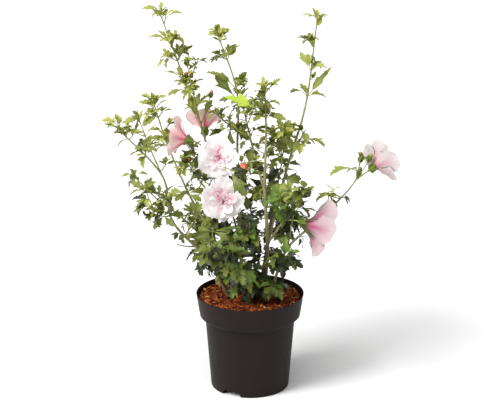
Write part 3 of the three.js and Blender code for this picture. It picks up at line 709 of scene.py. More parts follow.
# Room. Limbs, blooms and pot are firm, and what grows keeps clear of them and of leaves that came before.
class Room:
    """What is firm, what stays open and where leaves are, and whether a point is clear of them all"""
    POT_CLEAR = 3
    WALL_CLEAR = 2
    CELL = 5.0
    LEAF_ROOM = 1.6
    FIRM_ROOM = 1.2

    def __init__(self):
        self.firm = []
        self.tree = None
        self.open = [*OPEN_PLACES, *OPEN_FACES]
        self.cells = {}

    def add_firm(self, point, radius):
        self.firm.append((Vector(point), radius))

    def settle(self):
        self.tree = KDTree(len(self.firm))
        for index, (point, _) in enumerate(self.firm):
            self.tree.insert(point, index)
        self.tree.balance()

    def cell(self, point):
        return tuple(math.floor(value / self.CELL) for value in point)

    def add_leaf(self, points):
        for point in points:
            self.cells.setdefault(self.cell(point), []).append(tuple(point))

    def touches_firm(self, point):
        if any(math.dist(point, place) < radius for *place, radius in self.open):
            return True
        inside = math.hypot(point[0], point[1]) < RIM_RADIUS - WALL - self.WALL_CLEAR
        if point[2] < (BARK_TOP if inside else POT_HEIGHT) + self.POT_CLEAR:
            return True
        for _, index, distance in self.tree.find_n(point, 2):
            if distance < self.firm[index][1] + self.FIRM_ROOM:
                return True
        return False

    def touches_leaf(self, point):
        x, y, z = self.cell(point)
        for cell in ((x + i, y + j, z + k) for i in (-1, 0, 1) for j in (-1, 0, 1) for k in (-1, 0, 1)):
            for other in self.cells.get(cell, ()):
                if math.dist(point, other) < self.LEAF_ROOM:
                    return True
        return False

    def is_clear(self, points):
        return not any(self.touches_firm(point) or self.touches_leaf(point) for point in points)


room = Room()
heaps = {}


def heap(kind):
    return heaps.setdefault(kind, Heap())


# Growth of a mass
def within_reach(mass, point):
    samples = (mass.stem.point(mass.stem.length * i / REACH_SAMPLES) for i in range(REACH_SAMPLES + 1))
    return min((sample - point).length for sample in samples) < mass.reach


def put_leaf(mass, pose, length, bend, kind, form, roll):
    """Puts one leaf in its pose, rolled a little round its midrib, if it has room"""
    if not within_reach(mass, pose.root + pose.forward * length):
        return False
    across = pose.up.cross(pose.forward)
    pose.up = pose.up * math.cos(roll) + across * math.sin(roll)
    probes = leaf_points(LEAF_PROBES, pose, length, bend)
    if not room.is_clear(probes):
        return False
    room.add_leaf(probes)
    fold = lerp(*(LEAF_FOLD_SLENDER if form == "slender" else LEAF_FOLD), mass.fine())
    twist = lerp(*LEAF_TWIST, mass.fine())
    droop = lerp(*LEAF_DROOP, mass.fine())
    points = leaf_points(LEAVES[form], pose, length, bend, fold, twist, droop)
    heap("leaves_" + kind).add(LEAVES[form], points)
    return True


def grow_leaf(mass, stem, distance, around, length, angle, bend, kind, form):
    """Grows one leaf at the first free place near around"""
    roll = lerp(-LEAF_ROLL, LEAF_ROLL, mass.fine())
    poses = (leaf_pose(stem, distance, around + nudge, angle) for nudge in NUDGES)
    return any(put_leaf(mass, pose, length, bend * LEAF_ARCH_MORE, kind, form, roll) for pose in poses)


# Shares of the leaf colours in each region, from the first to the last of these
# Low down and behind, most leaves are of the dark deep kind, partly as painted shade
LEAF_COLOURS = ("tip", "young", "mid", "bright", "deep")
REGION_COLOURS = {
    "young_tips": (0.7, 1.0, 1.0, 1.0, 1.0),
    "young": (0.35, 0.95, 1.0, 1.0, 1.0),
    "tips": (0.22, 0.78, 1.0, 1.0, 1.0),
    "high": (0.04, 0.5, 0.88, 0.97, 1.0),
    "left": (0.06, 0.5, 0.85, 0.92, 1.0),
    "front": (0.0, 0.04, 0.36, 0.5, 1.0),
    "low": (0.0, 0.0, 0.18, 0.24, 1.0),
}
REGION_FROM = Values(young=430, tips=380, high=450, left=300, front=400)
LEFT_SIDE = -75
FRONT_SIDE = 20


def leaf_kind(mass, place, is_tip=False):
    """The colour of a spray, dealt out by where it grows: darker low down and behind, partly as painted shade
    """
    if "colour" in mass.spec:
        return mass.spec["colour"]
    if mass.spec.get("young") and place.z > REGION_FROM.young:
        region = "young_tips" if is_tip else "young"
    elif is_tip and place.z > REGION_FROM.tips:
        region = "tips"
    elif place.z > REGION_FROM.high:
        region = "high"
    elif place.x < LEFT_SIDE and place.z > REGION_FROM.left:
        region = "left"
    else:
        region = "front" if place.y < FRONT_SIDE or place.z > REGION_FROM.front else "low"
    return dealt(LEAF_COLOURS, REGION_COLOURS[region], mass.fine())


# Leaves shorter than this are of the small forms. The forms have shares that rise to 1.
SMALL_BELOW = 26
SMALL_FORMS = (("small", "narrow"), (0.85, 1.0))
LARGE_FORMS = (("wedge", "lobed", "broad"), (0.45, 0.8, 1.0))


def leaf_form(mass, length):
    return dealt(*(SMALL_FORMS if length < SMALL_BELOW else LARGE_FORMS), mass.fine())


def grow_tuft(mass, stem, leaf, count, draw):
    """A few small steep leaves at the tip of a stem, and a rosette among them"""
    start = draw() * TURN
    kind = leaf_kind(mass, stem.point(stem.length), True)
    for i in range(count):
        around = start + i * TURN / count
        length = leaf * lerp(*TUFT.size, draw())
        distance = stem.length - TUFT.start - i * TUFT.step
        angle = lerp(*TUFT.angle, draw())
        grow_leaf(mass, stem, distance, around, length, angle, TUFT.bend, kind, leaf_form(mass, length))
    tip = stem.point(stem.length)
    end = tip + stem.along(stem.length) * TIP_ROSETTE.length
    grow_rosette(mass, tip, end, leaf * TIP_ROSETTE.leaf, TIP_ROSETTE.leaves, kind)


def grow_rosette(mass, start, end, leaf, count, kind):
    """A short shoot whose leaves stand round its tip like a vase, the outer ones longest"""
    shoot = Stem([start, start.lerp(end, 0.5), end], ROSETTE.thick, steps=6)
    turn = mass.fine() * TURN
    grown = 0
    for i in range(count):
        share = i / (count - 1)
        size = leaf * lerp(1, ROSETTE.smallest, share) * lerp(*ROSETTE.size, mass.fine())
        angle = lerp(*ROSETTE.spread, share) + lerp(*ROSETTE.spread_more, mass.fine())
        bend = lerp(*ROSETTE.bend, mass.fine())
        spot = shoot.length * lerp(ROSETTE.lowest, 1, share)
        form = leaf_form(mass, size)
        grown += grow_leaf(mass, shoot, spot, turn + i * LEAF_TURN, size, angle, bend, kind, form)
    if grown:
        lay_rod("twigs_green", SPRIG_ROD, shoot)


def grow_axil(mass, stem, distance, around, leaf):
    """A rosette in the axil of a leaf"""
    heading = leaf_pose(stem, distance, around, ROSETTE.angle).forward
    start = stem.point(distance)
    length = lerp(*ROSETTE.length, mass.fine())
    end = start + heading * length + UP * length * ROSETTE.lift
    grow_rosette(mass, start, end, leaf, ROSETTE.leaves, leaf_kind(mass, end))


def grow_spurs(name, spec, end):
    """Rosettes on short spurs along the bare part of a cane, among the foliage"""
    stem = stems[name]
    spur = Values(stem=stem, spec=spec, reach=RIM_RADIUS, fine=seeded(len(name) + SEEDS.spur))
    distance = stem.distance_at(SPUR.lowest) + spec["spur_gap"] * spur.fine()
    turn = spur.fine() * TURN
    while distance < min(end, stem.distance_at(SPUR.highest)):
        grow_axil(spur, stem, distance, turn, lerp(*SPUR.leaf, spur.fine()))
        distance += spec["spur_gap"] * lerp(*SPUR.gap, spur.fine())
        turn += LEAF_TURN


def grow_twig(mass, distance, around, leaf, draw):
    """A side twig with its own leaves"""
    turn = math.radians(TWIG_ANGLE)
    start = mass.stem.point(distance)
    heading = mass.stem.aside(distance, around) * math.sin(turn) + mass.stem.along(distance) * math.cos(turn)
    length = lerp(*TWIG_LENGTH, draw()) * (NODE_TWIG if mass.nodes else 1)
    middle = start + heading * (length / 2)
    end = start + heading * length + UP * (length * TWIG_LIFT)
    twig = Stem([start, middle, end], TWIG_THICK, steps=16)
    leaf_turn = draw() * TURN
    size = leaf * TWIG_LEAF.share
    leaf_length = size * lerp(*LEAF_SIZE, draw())
    if any(room.touches_firm(twig.point(twig.length * share)) for share in TWIG_PROBES):
        return
    lay_rod("twigs_green", ROD, twig)
    kind = leaf_kind(mass, end)
    spot = twig.length * TWIG_LEAF.place
    form = leaf_form(mass, leaf_length)
    grow_leaf(mass, twig, spot, leaf_turn, leaf_length, TWIG_LEAF.angle, TWIG_LEAF.bend, kind, form)
    grow_tuft(mass, twig, size, TWIG_TUFT_COUNT, draw)
    grow_axil(mass, twig, spot, leaf_turn + TWIG_AXIL_TURN, leaf * ROSETTE_LEAF)


def at_node(mass, distance):
    """The nearest node on a stem, where it has some"""
    return min(mass.nodes, key=lambda node: abs(node - distance), default=distance)


def grow_twigs(mass, start, span, turn, draw):
    count = round(span / TWIG_EVERY)
    for i in range(count):
        distance = at_node(mass, start + span * lerp(*TWIG_SPREAD, (i + 0.5) / count))
        grow_twig(mass, distance, turn + TWIG_TURN + i * LEAF_TURN, mass.spec["leaf"], draw)


def grow_own_leaves(mass, start, span, turn, draw):
    """Leaves one after another round a stem, largest a third of the way up. Gives back where they stand."""
    stem, spec = mass.stem, mass.spec
    count = max(1, round(span / spec["gap"]))
    places = []
    for i in range(count):
        share = i / count
        swell = math.sin(math.pi * (FULLNESS.start + FULLNESS.over * share))
        length = spec["leaf"] * (FULLNESS.least + FULLNESS.more * swell) * lerp(*LEAF_SIZE, draw())
        length *= DENSE_LEAF if stem.point(start).z < DENSE_BELOW else 1
        angle = lerp(*LEAF_ANGLE, share) + lerp(*LEAF_ANGLE_SPREAD, draw())
        around = turn + i * LEAF_TURN + lerp(*LEAF_TURN_SPREAD, draw())
        distance = at_node(mass, start + span * (i - i % 2 if spec.get("young") else i) / count)
        kind = leaf_kind(mass, stem.point(distance))
        bend = lerp(*LEAF_BEND, draw())
        grow_leaf(mass, stem, distance, around, length, angle, bend, kind, leaf_form(mass, length))
        places.append((distance, around, length))
    return places


def fill_axil(mass, distance, around, length):
    """A rosette in the axil of a leaf, and more of both where it is dense"""
    stem = mass.stem
    place = stem.point(distance)
    grow_axil(mass, stem, distance, around + AXIL_TURN, length * ROSETTE_LEAF)
    if place.z >= DENSE_BELOW:
        return
    second = distance + DENSE_ROSETTE.further
    grow_axil(mass, stem, second, around + DENSE_ROSETTE.turn, length * ROSETTE_LEAF)
    for turn, share in DENSE_MORE.rows:
        size, further = length * share, distance + DENSE_MORE.further
        kind = leaf_kind(mass, place)
        form = leaf_form(mass, size)
        grow_leaf(mass, stem, further, around + turn, size, DENSE_MORE.angle, DENSE_MORE.bend, kind, form)


def grow_mass(mass):
    """The twigs and leaves of one stem, and rosettes between them where its growth isn't young"""
    draw = seeded(mass.seed)
    start = mass.start + LEAF_CLEAR
    span = mass.stem.length - start
    turn = draw() * TURN
    grow_twigs(mass, start, span, turn, draw)
    places = grow_own_leaves(mass, start, span, turn, draw)
    grow_tuft(mass, mass.stem, mass.spec["leaf"] * TUFT.share, TUFT_COUNT, draw)
    if not mass.spec.get("young"):
        for place in places:
            fill_axil(mass, *place)


# Petals. A petal is a grid across and along, from its claw in the throat to its edge.
PETAL_WIDTH = ((0, 0.1), (0.12, 0.14), (0.3, 0.28), (0.5, 0.42), (0.7, 0.5), (0.86, 0.51), (1, 0.46))
PETAL_ROUND = 0.36
# Waves across a petal: how deep they are, how many, and a share of finer ones
PETAL_FRINGE = Values(depth=0.025, count=7, fine=0.6, fine_count=17)
PETAL_RUFFLE = Values(fine=0.6, finer=1.9)
PETAL_CREASE = Values(depth=0.012, count=9)


def petal_shape(rows, columns):
    return Shape(*laid_grid(rows, columns, lambda across, along: (across, along, 0)))


PETAL = petal_shape(16, 14)
SMALL_PETAL = petal_shape(9, 8)


def spoke(axis, azimuth):
    """The directions away from an axis and round it, at an azimuth"""
    first, second = around_axis(axis)
    radial = first * math.cos(azimuth) + second * math.sin(azimuth)
    return radial, axis.cross(radial)


def curved(throat, length, opened, bend, share):
    """How far out and up a petal is at shares of its length, and its angle there. It starts at the angle
    opened from its axis and bends by bend, in degrees."""
    start, turn = math.radians(opened), math.radians(bend)
    angle = start + turn * share
    out = throat + length / turn * (math.cos(start) - np.cos(angle))
    high = length / turn * (np.sin(angle) - math.sin(start))
    return out, high, angle


def off_axis(base, axis, azimuth, out, high, inward, angle, wide):
    """Points out from an axis and high along it, moved inward at an angle to it, and wide round it"""
    radial, tangent = spoke(axis, azimuth)
    return along_ways(
        base,
        (out - inward * np.cos(angle), radial),
        (high + inward * np.sin(angle), axis),
        (wide, tangent))


def petal_points(shape, base, axis, azimuth, length, opened, bend, style):
    """The points of one petal in a double bloom. style says how it cups, ruffles, laps and how wide it is."""
    u, v, _ = shape.points.T
    share = v * (1 - PETAL_ROUND * u**2 * v**4)
    fringe = np.sin(PETAL_FRINGE.count * u + style.phase)
    fringe += PETAL_FRINGE.fine * np.sin(PETAL_FRINGE.fine_count * u - style.phase)
    share += PETAL_FRINGE.depth * fringe * v**6
    out, high, angle = curved(DOUBLE.throat, length, opened, bend, share)
    ruffle = np.sin(style.waves * u + style.phase) * v**2
    ruffle += PETAL_RUFFLE.fine * np.sin(PETAL_RUFFLE.finer * style.waves * u - style.phase) * v**3
    inward = length * (style.cup * u**2 * v + style.ruffle * ruffle + style.lap * u * v)
    inward += length * PETAL_CREASE.depth * np.cos(PETAL_CREASE.count * u) * v * (1 - v)
    wide = u * np.interp(v, *zip(*PETAL_WIDTH)) * length * style.width
    return off_axis(base, axis, azimuth, out, high, inward, angle, wide)


# A single bloom is a funnel: its petals lie round it, each over the next, with waved round rims. half is half
# the angle that a petal takes up, at shares of its length.
FUNNEL = Values(
    turn=(-0.1, 0.1), length=(0.95, 1.06), open=(-7, 7), bend=(36, 58), half_at=(0, 0.45, 0.75, 1),
    half=(0.5, 0.84, 0.96, 0.88), round=0.36, round_power=2.4, wave=0.06, waves=3.4, frill=0.024, frills=11,
    lap=0.06, crease=0.016, creases=10)


def funnel_points(shape, base, axis, azimuth, length, opened, bend, phase):
    """The points of a petal that follows the funnel round its axis"""
    first, second = around_axis(axis)
    u, v, _ = shape.points.T
    share = v * (1 - FUNNEL.round * np.abs(u) ** FUNNEL.round_power * v**2)
    out, high, angle = curved(THROAT_RADIUS, length, opened, bend, share)
    wave = FUNNEL.wave * np.sin(FUNNEL.waves * u + phase) * v**2
    wave += FUNNEL.frill * np.sin(FUNNEL.frills * u - phase) * v**4
    crease = FUNNEL.crease * np.cos(FUNNEL.creases * u) * v * (1 - v)
    inward = length * (wave + FUNNEL.lap * u * v + crease)
    out -= inward * np.cos(angle)
    high += inward * np.sin(angle)
    around = azimuth + u * np.interp(v, FUNNEL.half_at, FUNNEL.half)
    return along_ways(base, (out * np.cos(around), first), (out * np.sin(around), second), (high, axis))


def single_petals(spec, base, axis, draw, kind):
    for i in range(PETALS):
        azimuth = i * TURN / PETALS + spec["turned"] + lerp(*FUNNEL.turn, draw())
        length = spec["petal"] * lerp(*FUNNEL.length, draw())
        opened = spec["open"] + lerp(*FUNNEL.open, draw())
        bend = lerp(*FUNNEL.bend, draw())
        points = funnel_points(PETAL, base, axis, azimuth, length, opened, bend, draw() * TURN)
        add_petal(kind, PETAL, points)


# The rings of a double bloom: how many petals, how long, how far open, how broad and how crumpled they are
DOUBLE_RINGS = (
    (5, 1.0, 62, 1.12, 0.035), (5, 0.9, 54, 1.0, 0.045), (6, 0.74, 52, 0.74, 0.06), (7, 0.6, 46, 0.6, 0.075),
    (8, 0.52, 38, 0.5, 0.09), (8, 0.46, 26, 0.46, 0.1), (7, 0.42, 12, 0.42, 0.1))
DOUBLE = Values(
    throat=2, usual_open=48, turn=(-0.2, 0.2), length=(0.93, 1.07), cup=(-0.06, 0.08), width=(0.88, 1.12),
    waves=(3, 6), lap=(-0.12, 0.12), open=(-7, 7), open_more=0.5, bend=(22, 40))
GUARD_RINGS = 2
FLECKED_SHARE = 0.4
LONGEST_MORE = 0.13


def double_style(width, ruffle, draw):
    return Values(
        cup=lerp(*DOUBLE.cup, draw()), ruffle=ruffle, width=width * lerp(*DOUBLE.width, draw()),
        waves=lerp(*DOUBLE.waves, draw()), lap=lerp(*DOUBLE.lap, draw()), phase=draw() * TURN)


def double_petals(spec, base, axis, draw):
    """Rings of broad guard petals, and crumpled ones round their heart"""
    long = math.radians(spec["long"])
    for ring, (count, share, opened, width, ruffle) in enumerate(DOUBLE_RINGS):
        inner = ring >= GUARD_RINGS
        shape = SMALL_PETAL if inner else PETAL
        middle = base + Vector(spec["heart"]) * (ring / len(DOUBLE_RINGS))
        for i in range(count):
            azimuth = (i + 0.5 * ring) * TURN / count + lerp(*DOUBLE.turn, draw())
            length = spec["petal"] * share * lerp(*DOUBLE.length, draw())
            length *= 1 + LONGEST_MORE * math.cos(azimuth - long)
            style = double_style(width, ruffle, draw)
            lean = opened + spec["open"] - DOUBLE.usual_open
            lean += lerp(*DOUBLE.open, draw()) * (1 + DOUBLE.open_more * ring)
            bend = lerp(*DOUBLE.bend, draw())
            points = petal_points(shape, middle, axis, azimuth, length, lean, bend, style)
            kind = "petals_inner" if inner else "petals_pale"
            if inner and draw() < FLECKED_SHARE:
                kind = "petals_flecked"
            add_petal(kind, shape, points)


# Every so many points of a petal are firm, this far round
PETAL_FIRM_EVERY = 3
PETAL_FIRM = 1.5


def add_petal(kind, shape, points):
    heap(kind).add(shape, points)
    for point in points[::PETAL_FIRM_EVERY]:
        room.add_firm(point, PETAL_FIRM)


# Calyx: pointed sepals that make a cup, and narrow bracts round its foot. Both are narrow petals.
def blade_shape(rows, widths):
    def place(across, along):
        wide = np.interp(along, *zip(*widths))
        return across * wide, along, 0.1 * wide * abs(across)

    return Shape(*laid_grid(rows, 2, place))


SEPAL = blade_shape(6, ((0, 0.28), (0.35, 0.36), (0.7, 0.2), (1, 0.01)))
BRACT = blade_shape(5, ((0, 0.05), (0.4, 0.06), (0.8, 0.035), (1, 0.005)))


def blade_points(shape, base, axis, azimuth, length, opened, bend, throat):
    """The points of a sepal or bract on an axis"""
    wide, along, rise = shape.points.T
    out, high, angle = curved(throat, length, opened, bend, along)
    return off_axis(base, axis, azimuth, out, high, rise * length, angle, wide * length)


# Sizes in a calyx are shares of its size, and angles are in degrees
CALYX = Values(
    sunk=0.5, sepal=1.25, sepal_throat=0.1, curl=0.9, curl_least=2, bracts=7, bract=(0.95, 1.25),
    bract_throat=0.12, bract_bend=(-30, 20), bracts_apart=34, knob=(0.2, 0.3), knob_thick=(0.28, 0.44))


def add_calyx(base, axis, size, opened, draw, bracts=1.0):
    """Sepals and bracts under a bloom or a bud. bracts is how much longer than most the bracts are."""
    foot = base - axis * (size * CALYX.sunk)
    for i in range(PETALS):
        azimuth = (i + 0.5) * TURN / PETALS
        curl = -opened * CALYX.curl - CALYX.curl_least
        points = blade_points(
            SEPAL, foot, axis, azimuth, size * CALYX.sepal, opened, curl, size * CALYX.sepal_throat)
        heap("calyx").add(SEPAL, points)
    least, more = CALYX.bract_bend
    for i in range(CALYX.bracts):
        azimuth = i * TURN / CALYX.bracts + draw()
        length = size * lerp(*CALYX.bract, draw()) * bracts
        apart = opened + CALYX.bracts_apart / bracts
        bend = least + more * draw()
        points = blade_points(BRACT, foot, axis, azimuth, length, apart, bend, size * CALYX.bract_throat)
        heap("bracts" if bracts > 1 else "calyx").add(BRACT, points)
    below, above = CALYX.knob
    ends = [foot - axis * (size * below), foot, foot + axis * (size * above)]
    thick = [size * share for share in CALYX.knob_thick]
    lay_rod("calyx", ROD, Stem(ends, thick, steps=6))


def ball_shape():
    bm = bmesh.new()
    bmesh.ops.create_icosphere(bm, subdivisions=1, radius=1)
    return Shape(bm)


BALL = ball_shape()


# The column of stamens: its share of a petal's length, and the anthers from part of the way up
COLUMN = Values(
    length=0.66, thick=(3.4, 1.6), anthers=34, lowest=0.35, away=(2.2, 4.2), anther_radius=0.8)


def add_column(base, axis, length, draw):
    """The column of stamens in a single bloom"""
    stem = Stem([base, base + axis * (length / 2), base + axis * length], COLUMN.thick, steps=6)
    lay_rod("column", ROD, stem)
    for i in range(COLUMN.anthers):
        place = length * lerp(COLUMN.lowest, 1, i / (COLUMN.anthers - 1))
        away = stem.aside(place, i * LEAF_TURN) * lerp(*COLUMN.away, draw())
        spot = np.array(stem.point(place) + away)
        heap("anthers").add(BALL, BALL.points * COLUMN.anther_radius + spot)


def firm_stem(stem, steps, radius=None):
    """Makes a stem firm, as thick as it is or to a radius"""
    for i in range(steps + 1):
        distance = stem.length * i / steps
        room.add_firm(stem.point(distance), radius or stem.radius(distance))


# The stalk of a bloom comes up to it from behind. Each kind of calyx has its size and how far it stands open.
BLOOM_STALK = Values(thick=(3.4, 2.8), behind=18, sunk=4, firm_steps=11, firm=1.8)
DOUBLE_CALYX = (17, 42)
SINGLE_CALYX = (18, 34)


def add_bloom(spec, draw):
    parent = stems[spec["on"]]
    axis = Vector(spec["facing"]).normalized()
    base = Vector(spec["base"])
    behind = base - axis * BLOOM_STALK.behind
    root = parent.point(parent.distance_at(spec["z"]))
    stalk = Stem([root, behind, base - axis * BLOOM_STALK.sunk], BLOOM_STALK.thick, steps=24)
    lay_rod("twigs_green", LONG_ROD, stalk)
    firm_stem(stalk, BLOOM_STALK.firm_steps, BLOOM_STALK.firm)
    if spec["double"]:
        double_petals(spec, base, axis, draw)
        add_calyx(base, axis, *DOUBLE_CALYX, draw)
    else:
        single_petals(spec, base, axis, draw, "petals_" + spec["tint"])
        add_calyx(base, axis, *SINGLE_CALYX, draw, spec.get("bracts", 1.0))
        add_column(base, axis, spec["petal"] * COLUMN.length, draw)


# Buds
BUD_PROFILE = ((0.02, 0), (0.2, 0.12), (0.27, 0.35), (0.24, 0.6), (0.15, 0.82), (0.05, 0.97), (0.005, 1))
BUD_SIDES = 10
BUD_WIND = Values(turn=1.4, depth=0.09, folds=5)


def bud_shape():
    """A rolled bud a unit tall: its petals wind round it"""
    bm = spun(BUD_PROFILE, BUD_SIDES, 1e-5)
    for vertex in bm.verts:
        angle = math.atan2(vertex.co.y, vertex.co.x) + BUD_WIND.turn * vertex.co.z
        fold = 1 + BUD_WIND.depth * math.cos(BUD_WIND.folds * angle)
        radius = math.hypot(vertex.co.x, vertex.co.y) * fold
        vertex.co = Vector((radius * math.cos(angle), radius * math.sin(angle), vertex.co.z))
    return Shape(bm, [(0.5, vertex.co.z) for vertex in bm.verts])


BUD = bud_shape()


def turned_points(points, base, axis):
    """Points of a shape that stands on z, stood on an axis"""
    first, second = around_axis(axis)
    return np.array(base) + points @ np.array([first, second, axis])


# The calyx of a bud, as shares of the bud's length
BUD_CALYX = Values(above=0.16, size=0.8)
# The share of its length that a bud at the tip of a shoot and one on a stalk are firm round their middle
TIP_BUD_FIRM = 0.3
BUD_FIRM = 0.32


def add_bud(base, axis, size, kind, opened, draw, girth=1.0, firm=BUD_FIRM):
    """opened is how far its sepals stand open, in degrees, and girth how much broader it is than most"""
    heap("buds_" + kind).add(BUD, turned_points(BUD.points * (size * girth, size * girth, size), base, axis))
    add_calyx(base + axis * (size * BUD_CALYX.above), axis, size * BUD_CALYX.size, opened, draw)
    room.add_firm(base + axis * size * 0.5, size * firm)


def bud_stalk(start, end, sag, thick):
    stalk = Stem([start, start.lerp(end, 0.5) - UP * sag, end], thick, steps=8)
    lay_rod("twigs_green", ROD, stalk)
    return stalk


# Buds that stand on short stalks along the canes: stem, height, heading, length of bud, colour and openness
LOOSE_BUDS = (
    ("middle", 610, 20, 12, "green", 16),
    ("main", 600, 200, 12, "green", 16),
    ("main", 520, 20, 12, "green", 16),
    ("right_tall", 640, 30, 12, "green", 16),
    ("far_right", 478, 60, 17, "green", 20),
    ("left", 560, 180, 12, "green", 16),
    ("back_left", 400, 60, 13, "orange", 18),
    ("back_right", 440, 90, 12, "green", 18),
)
LOOSE_STALK = Values(rise=0.9, length=(9, 15), sag=1.5, thick=(2, 1.8), up_more=0.5)
# Buds at set places: stem, height that the stalk springs from, place of the bud's foot, length, colour
SET_BUDS = (
    ("left_tall", 630, (-136, 116, 656), 14, "orange"),
    ("left_tall", 640, (-126, 122, 654), 12, "red"),
    ("left_tall", 545, (-84, 104, 616), 15, "orange"),
    ("left", 470, (-132, 44, 490), 12, "orange"),
    ("far_left", 425, (-166, -84, 444), 18, "green"),
    ("middle", 535, (-26, 88, 554), 13, "red"),
    ("front_right", 440, (98, -90, 462), 15, "green"),
    ("far_right_buds", 500, (226, -62, 532), 9, "orange"),
    ("far_right", 476, (244, -56, 520), 16, "green"),
)
SET_STALK = Values(sag=2, thick=(2.2, 1.9), up_more=0.4)
SEPALS_OPEN = Values(tip=22, set=24)
# The great salmon bud stands at the tip of this shoot, and is this much broader than the others
GREAT_BUD = Values(on="middle_bud", kind="salmon", girth=1.7)


def add_tip_bud(name, size, draw):
    """A bud at the tip of a shoot"""
    stem = stems[name]
    great = name == GREAT_BUD.on
    kind = GREAT_BUD.kind if great else "green"
    girth = GREAT_BUD.girth if great else 1.0
    tip, axis = stem.point(stem.length), stem.along(stem.length)
    add_bud(tip, axis, size, kind, SEPALS_OPEN.tip, draw, girth, TIP_BUD_FIRM)


def add_set_bud(on, z, place, size, kind, draw):
    stem, end = stems[on], Vector(place)
    stalk = bud_stalk(stem.point(stem.distance_at(z)), end, SET_STALK.sag, SET_STALK.thick)
    axis = (stalk.along(stalk.length) + UP * SET_STALK.up_more).normalized()
    add_bud(end, axis, size, kind, SEPALS_OPEN.set, draw)


def add_loose_bud(on, z, heading, size, kind, opened, draw):
    stem = stems[on]
    start = stem.point(stem.distance_at(z))
    turn = math.radians(heading)
    out = Vector((math.cos(turn), math.sin(turn), LOOSE_STALK.rise)).normalized()
    end = start + out * lerp(*LOOSE_STALK.length, draw())
    bud_stalk(start, end, LOOSE_STALK.sag, LOOSE_STALK.thick)
    axis = (out + UP * LOOSE_STALK.up_more).normalized()
    add_bud(end, axis, size, kind, opened, draw)


# Stems by name, and the distance along each where its bare limb ends
stems = {}
bare_ends = {}
masses = []


def cane_stem(spec):
    foot = (*spec["foot"], GROUND)
    return Stem([foot, *spec["path"]], spec["thick"], grounded=True)


def shoot_stem(parent, spec):
    distance = parent.distance_at(spec["z"])
    start = parent.point(distance)
    way = way_of(spec["heading"], spec["rise"])
    middle = start + way * (spec["length"] / 2)
    end = start + way * spec["length"] + UP * spec["lift"]
    foot, tip = SHOOT_THICK if spec["bare"] < BOUGH_LEAST else BOUGH_THICK
    return Stem([start, middle, end], (min(foot, parent.radius(distance) * SHOOT_SHARE), tip))


# The fewest nodes on a mass's stem for its leaves to gather at them
NODES_LEAST = 3


def plan_mass(name, stem, start, spec):
    seed = len(masses) + 1
    reach = spec["leaf"] + REACH_MORE
    marks = [stem.distance_at(row[1]) for row in SPRAYS if row[0] == name]
    nodes = [mark for mark in marks if mark > start]
    masses.append(Values(
        name=name, stem=stem, start=start, spec=spec, reach=reach, seed=seed, fine=seeded(seed + SEEDS.mass),
        nodes=nodes if len(nodes) >= NODES_LEAST else []))


# Relief of a cane: fine ridges along it, and knots where leaves were, each higher on one side
KNOT = Values(every=27, length=2.6, height=0.16, least=0.4, more=1.4)
RIDGE = Values(height=0.07, scale=1.4, fine_height=0.04, fine_scale=4, round=2.2, along=0.06)
# How far the knots and the ridges of one limb are shifted from those of the next
KNOT_SHIFT = 7
RIDGE_SHIFT = 11


def bark_relief(stem, seed):
    def swell(distance, angle):
        shifted = distance + KNOT_SHIFT * seed
        offset = shifted % KNOT.every - KNOT.every / 2
        side = 0.5 + 0.5 * math.cos(angle - LEAF_TURN * int(shifted / KNOT.every))
        knot = KNOT.height * math.exp(-(offset / KNOT.length) ** 2) * (KNOT.least + KNOT.more * side)
        spot = Vector((
            math.cos(angle) * RIDGE.round, math.sin(angle) * RIDGE.round,
            distance * RIDGE.along + RIDGE_SHIFT * seed))
        ridge = RIDGE.height * noise.noise(spot * RIDGE.scale)
        fine = RIDGE.fine_height * noise.noise(spot * RIDGE.fine_scale)
        return stem.radius(distance) * (knot + ridge + fine)
    return swell


# Sides of a limb and of a leafy stem, and the lengths of their faces
LIMB_FACES = Values(sides=14, length=3.2)
LEAFY_FACES = Values(sides=8, length=9)


def add_limb(name, kind, stem, end):
    bare_ends[name] = end
    bm = rod_mesh(LIMB_FACES.sides, max(4, round(end / LIMB_FACES.length)))
    relief = bark_relief(stem, len(bare_ends))
    places = along_stem([vertex.co[:] for vertex in bm.verts], stem, 0, end, relief)
    for vertex, place in zip(bm.verts, places):
        vertex.co = place
        if kind == "cane":
            vertex.co.z = max(vertex.co.z, GROUND)
    node = f"{kind}_{name}"
    piece(node + "_bark", mesh_of(bm, node), materials["cane_bark"], [node])


def add_leafy_stem(stem, start, young):
    cuts = max(3, round((stem.length - start) / LEAFY_FACES.length))
    shape = Shape(rod_mesh(LEAFY_FACES.sides, cuts))
    lay_rod("twigs_green" if young else "twigs_brown", shape, stem, start, bark_relief(stem, len(masses)))


# Pot
def slope(low, high, shares, out_power=1, up_power=1):
    """Points at shares of the way from one point to another, curved by powers"""
    return [
        (lerp(low[0], high[0], share ** out_power), lerp(low[1], high[1], share ** up_power))
        for share in shares]


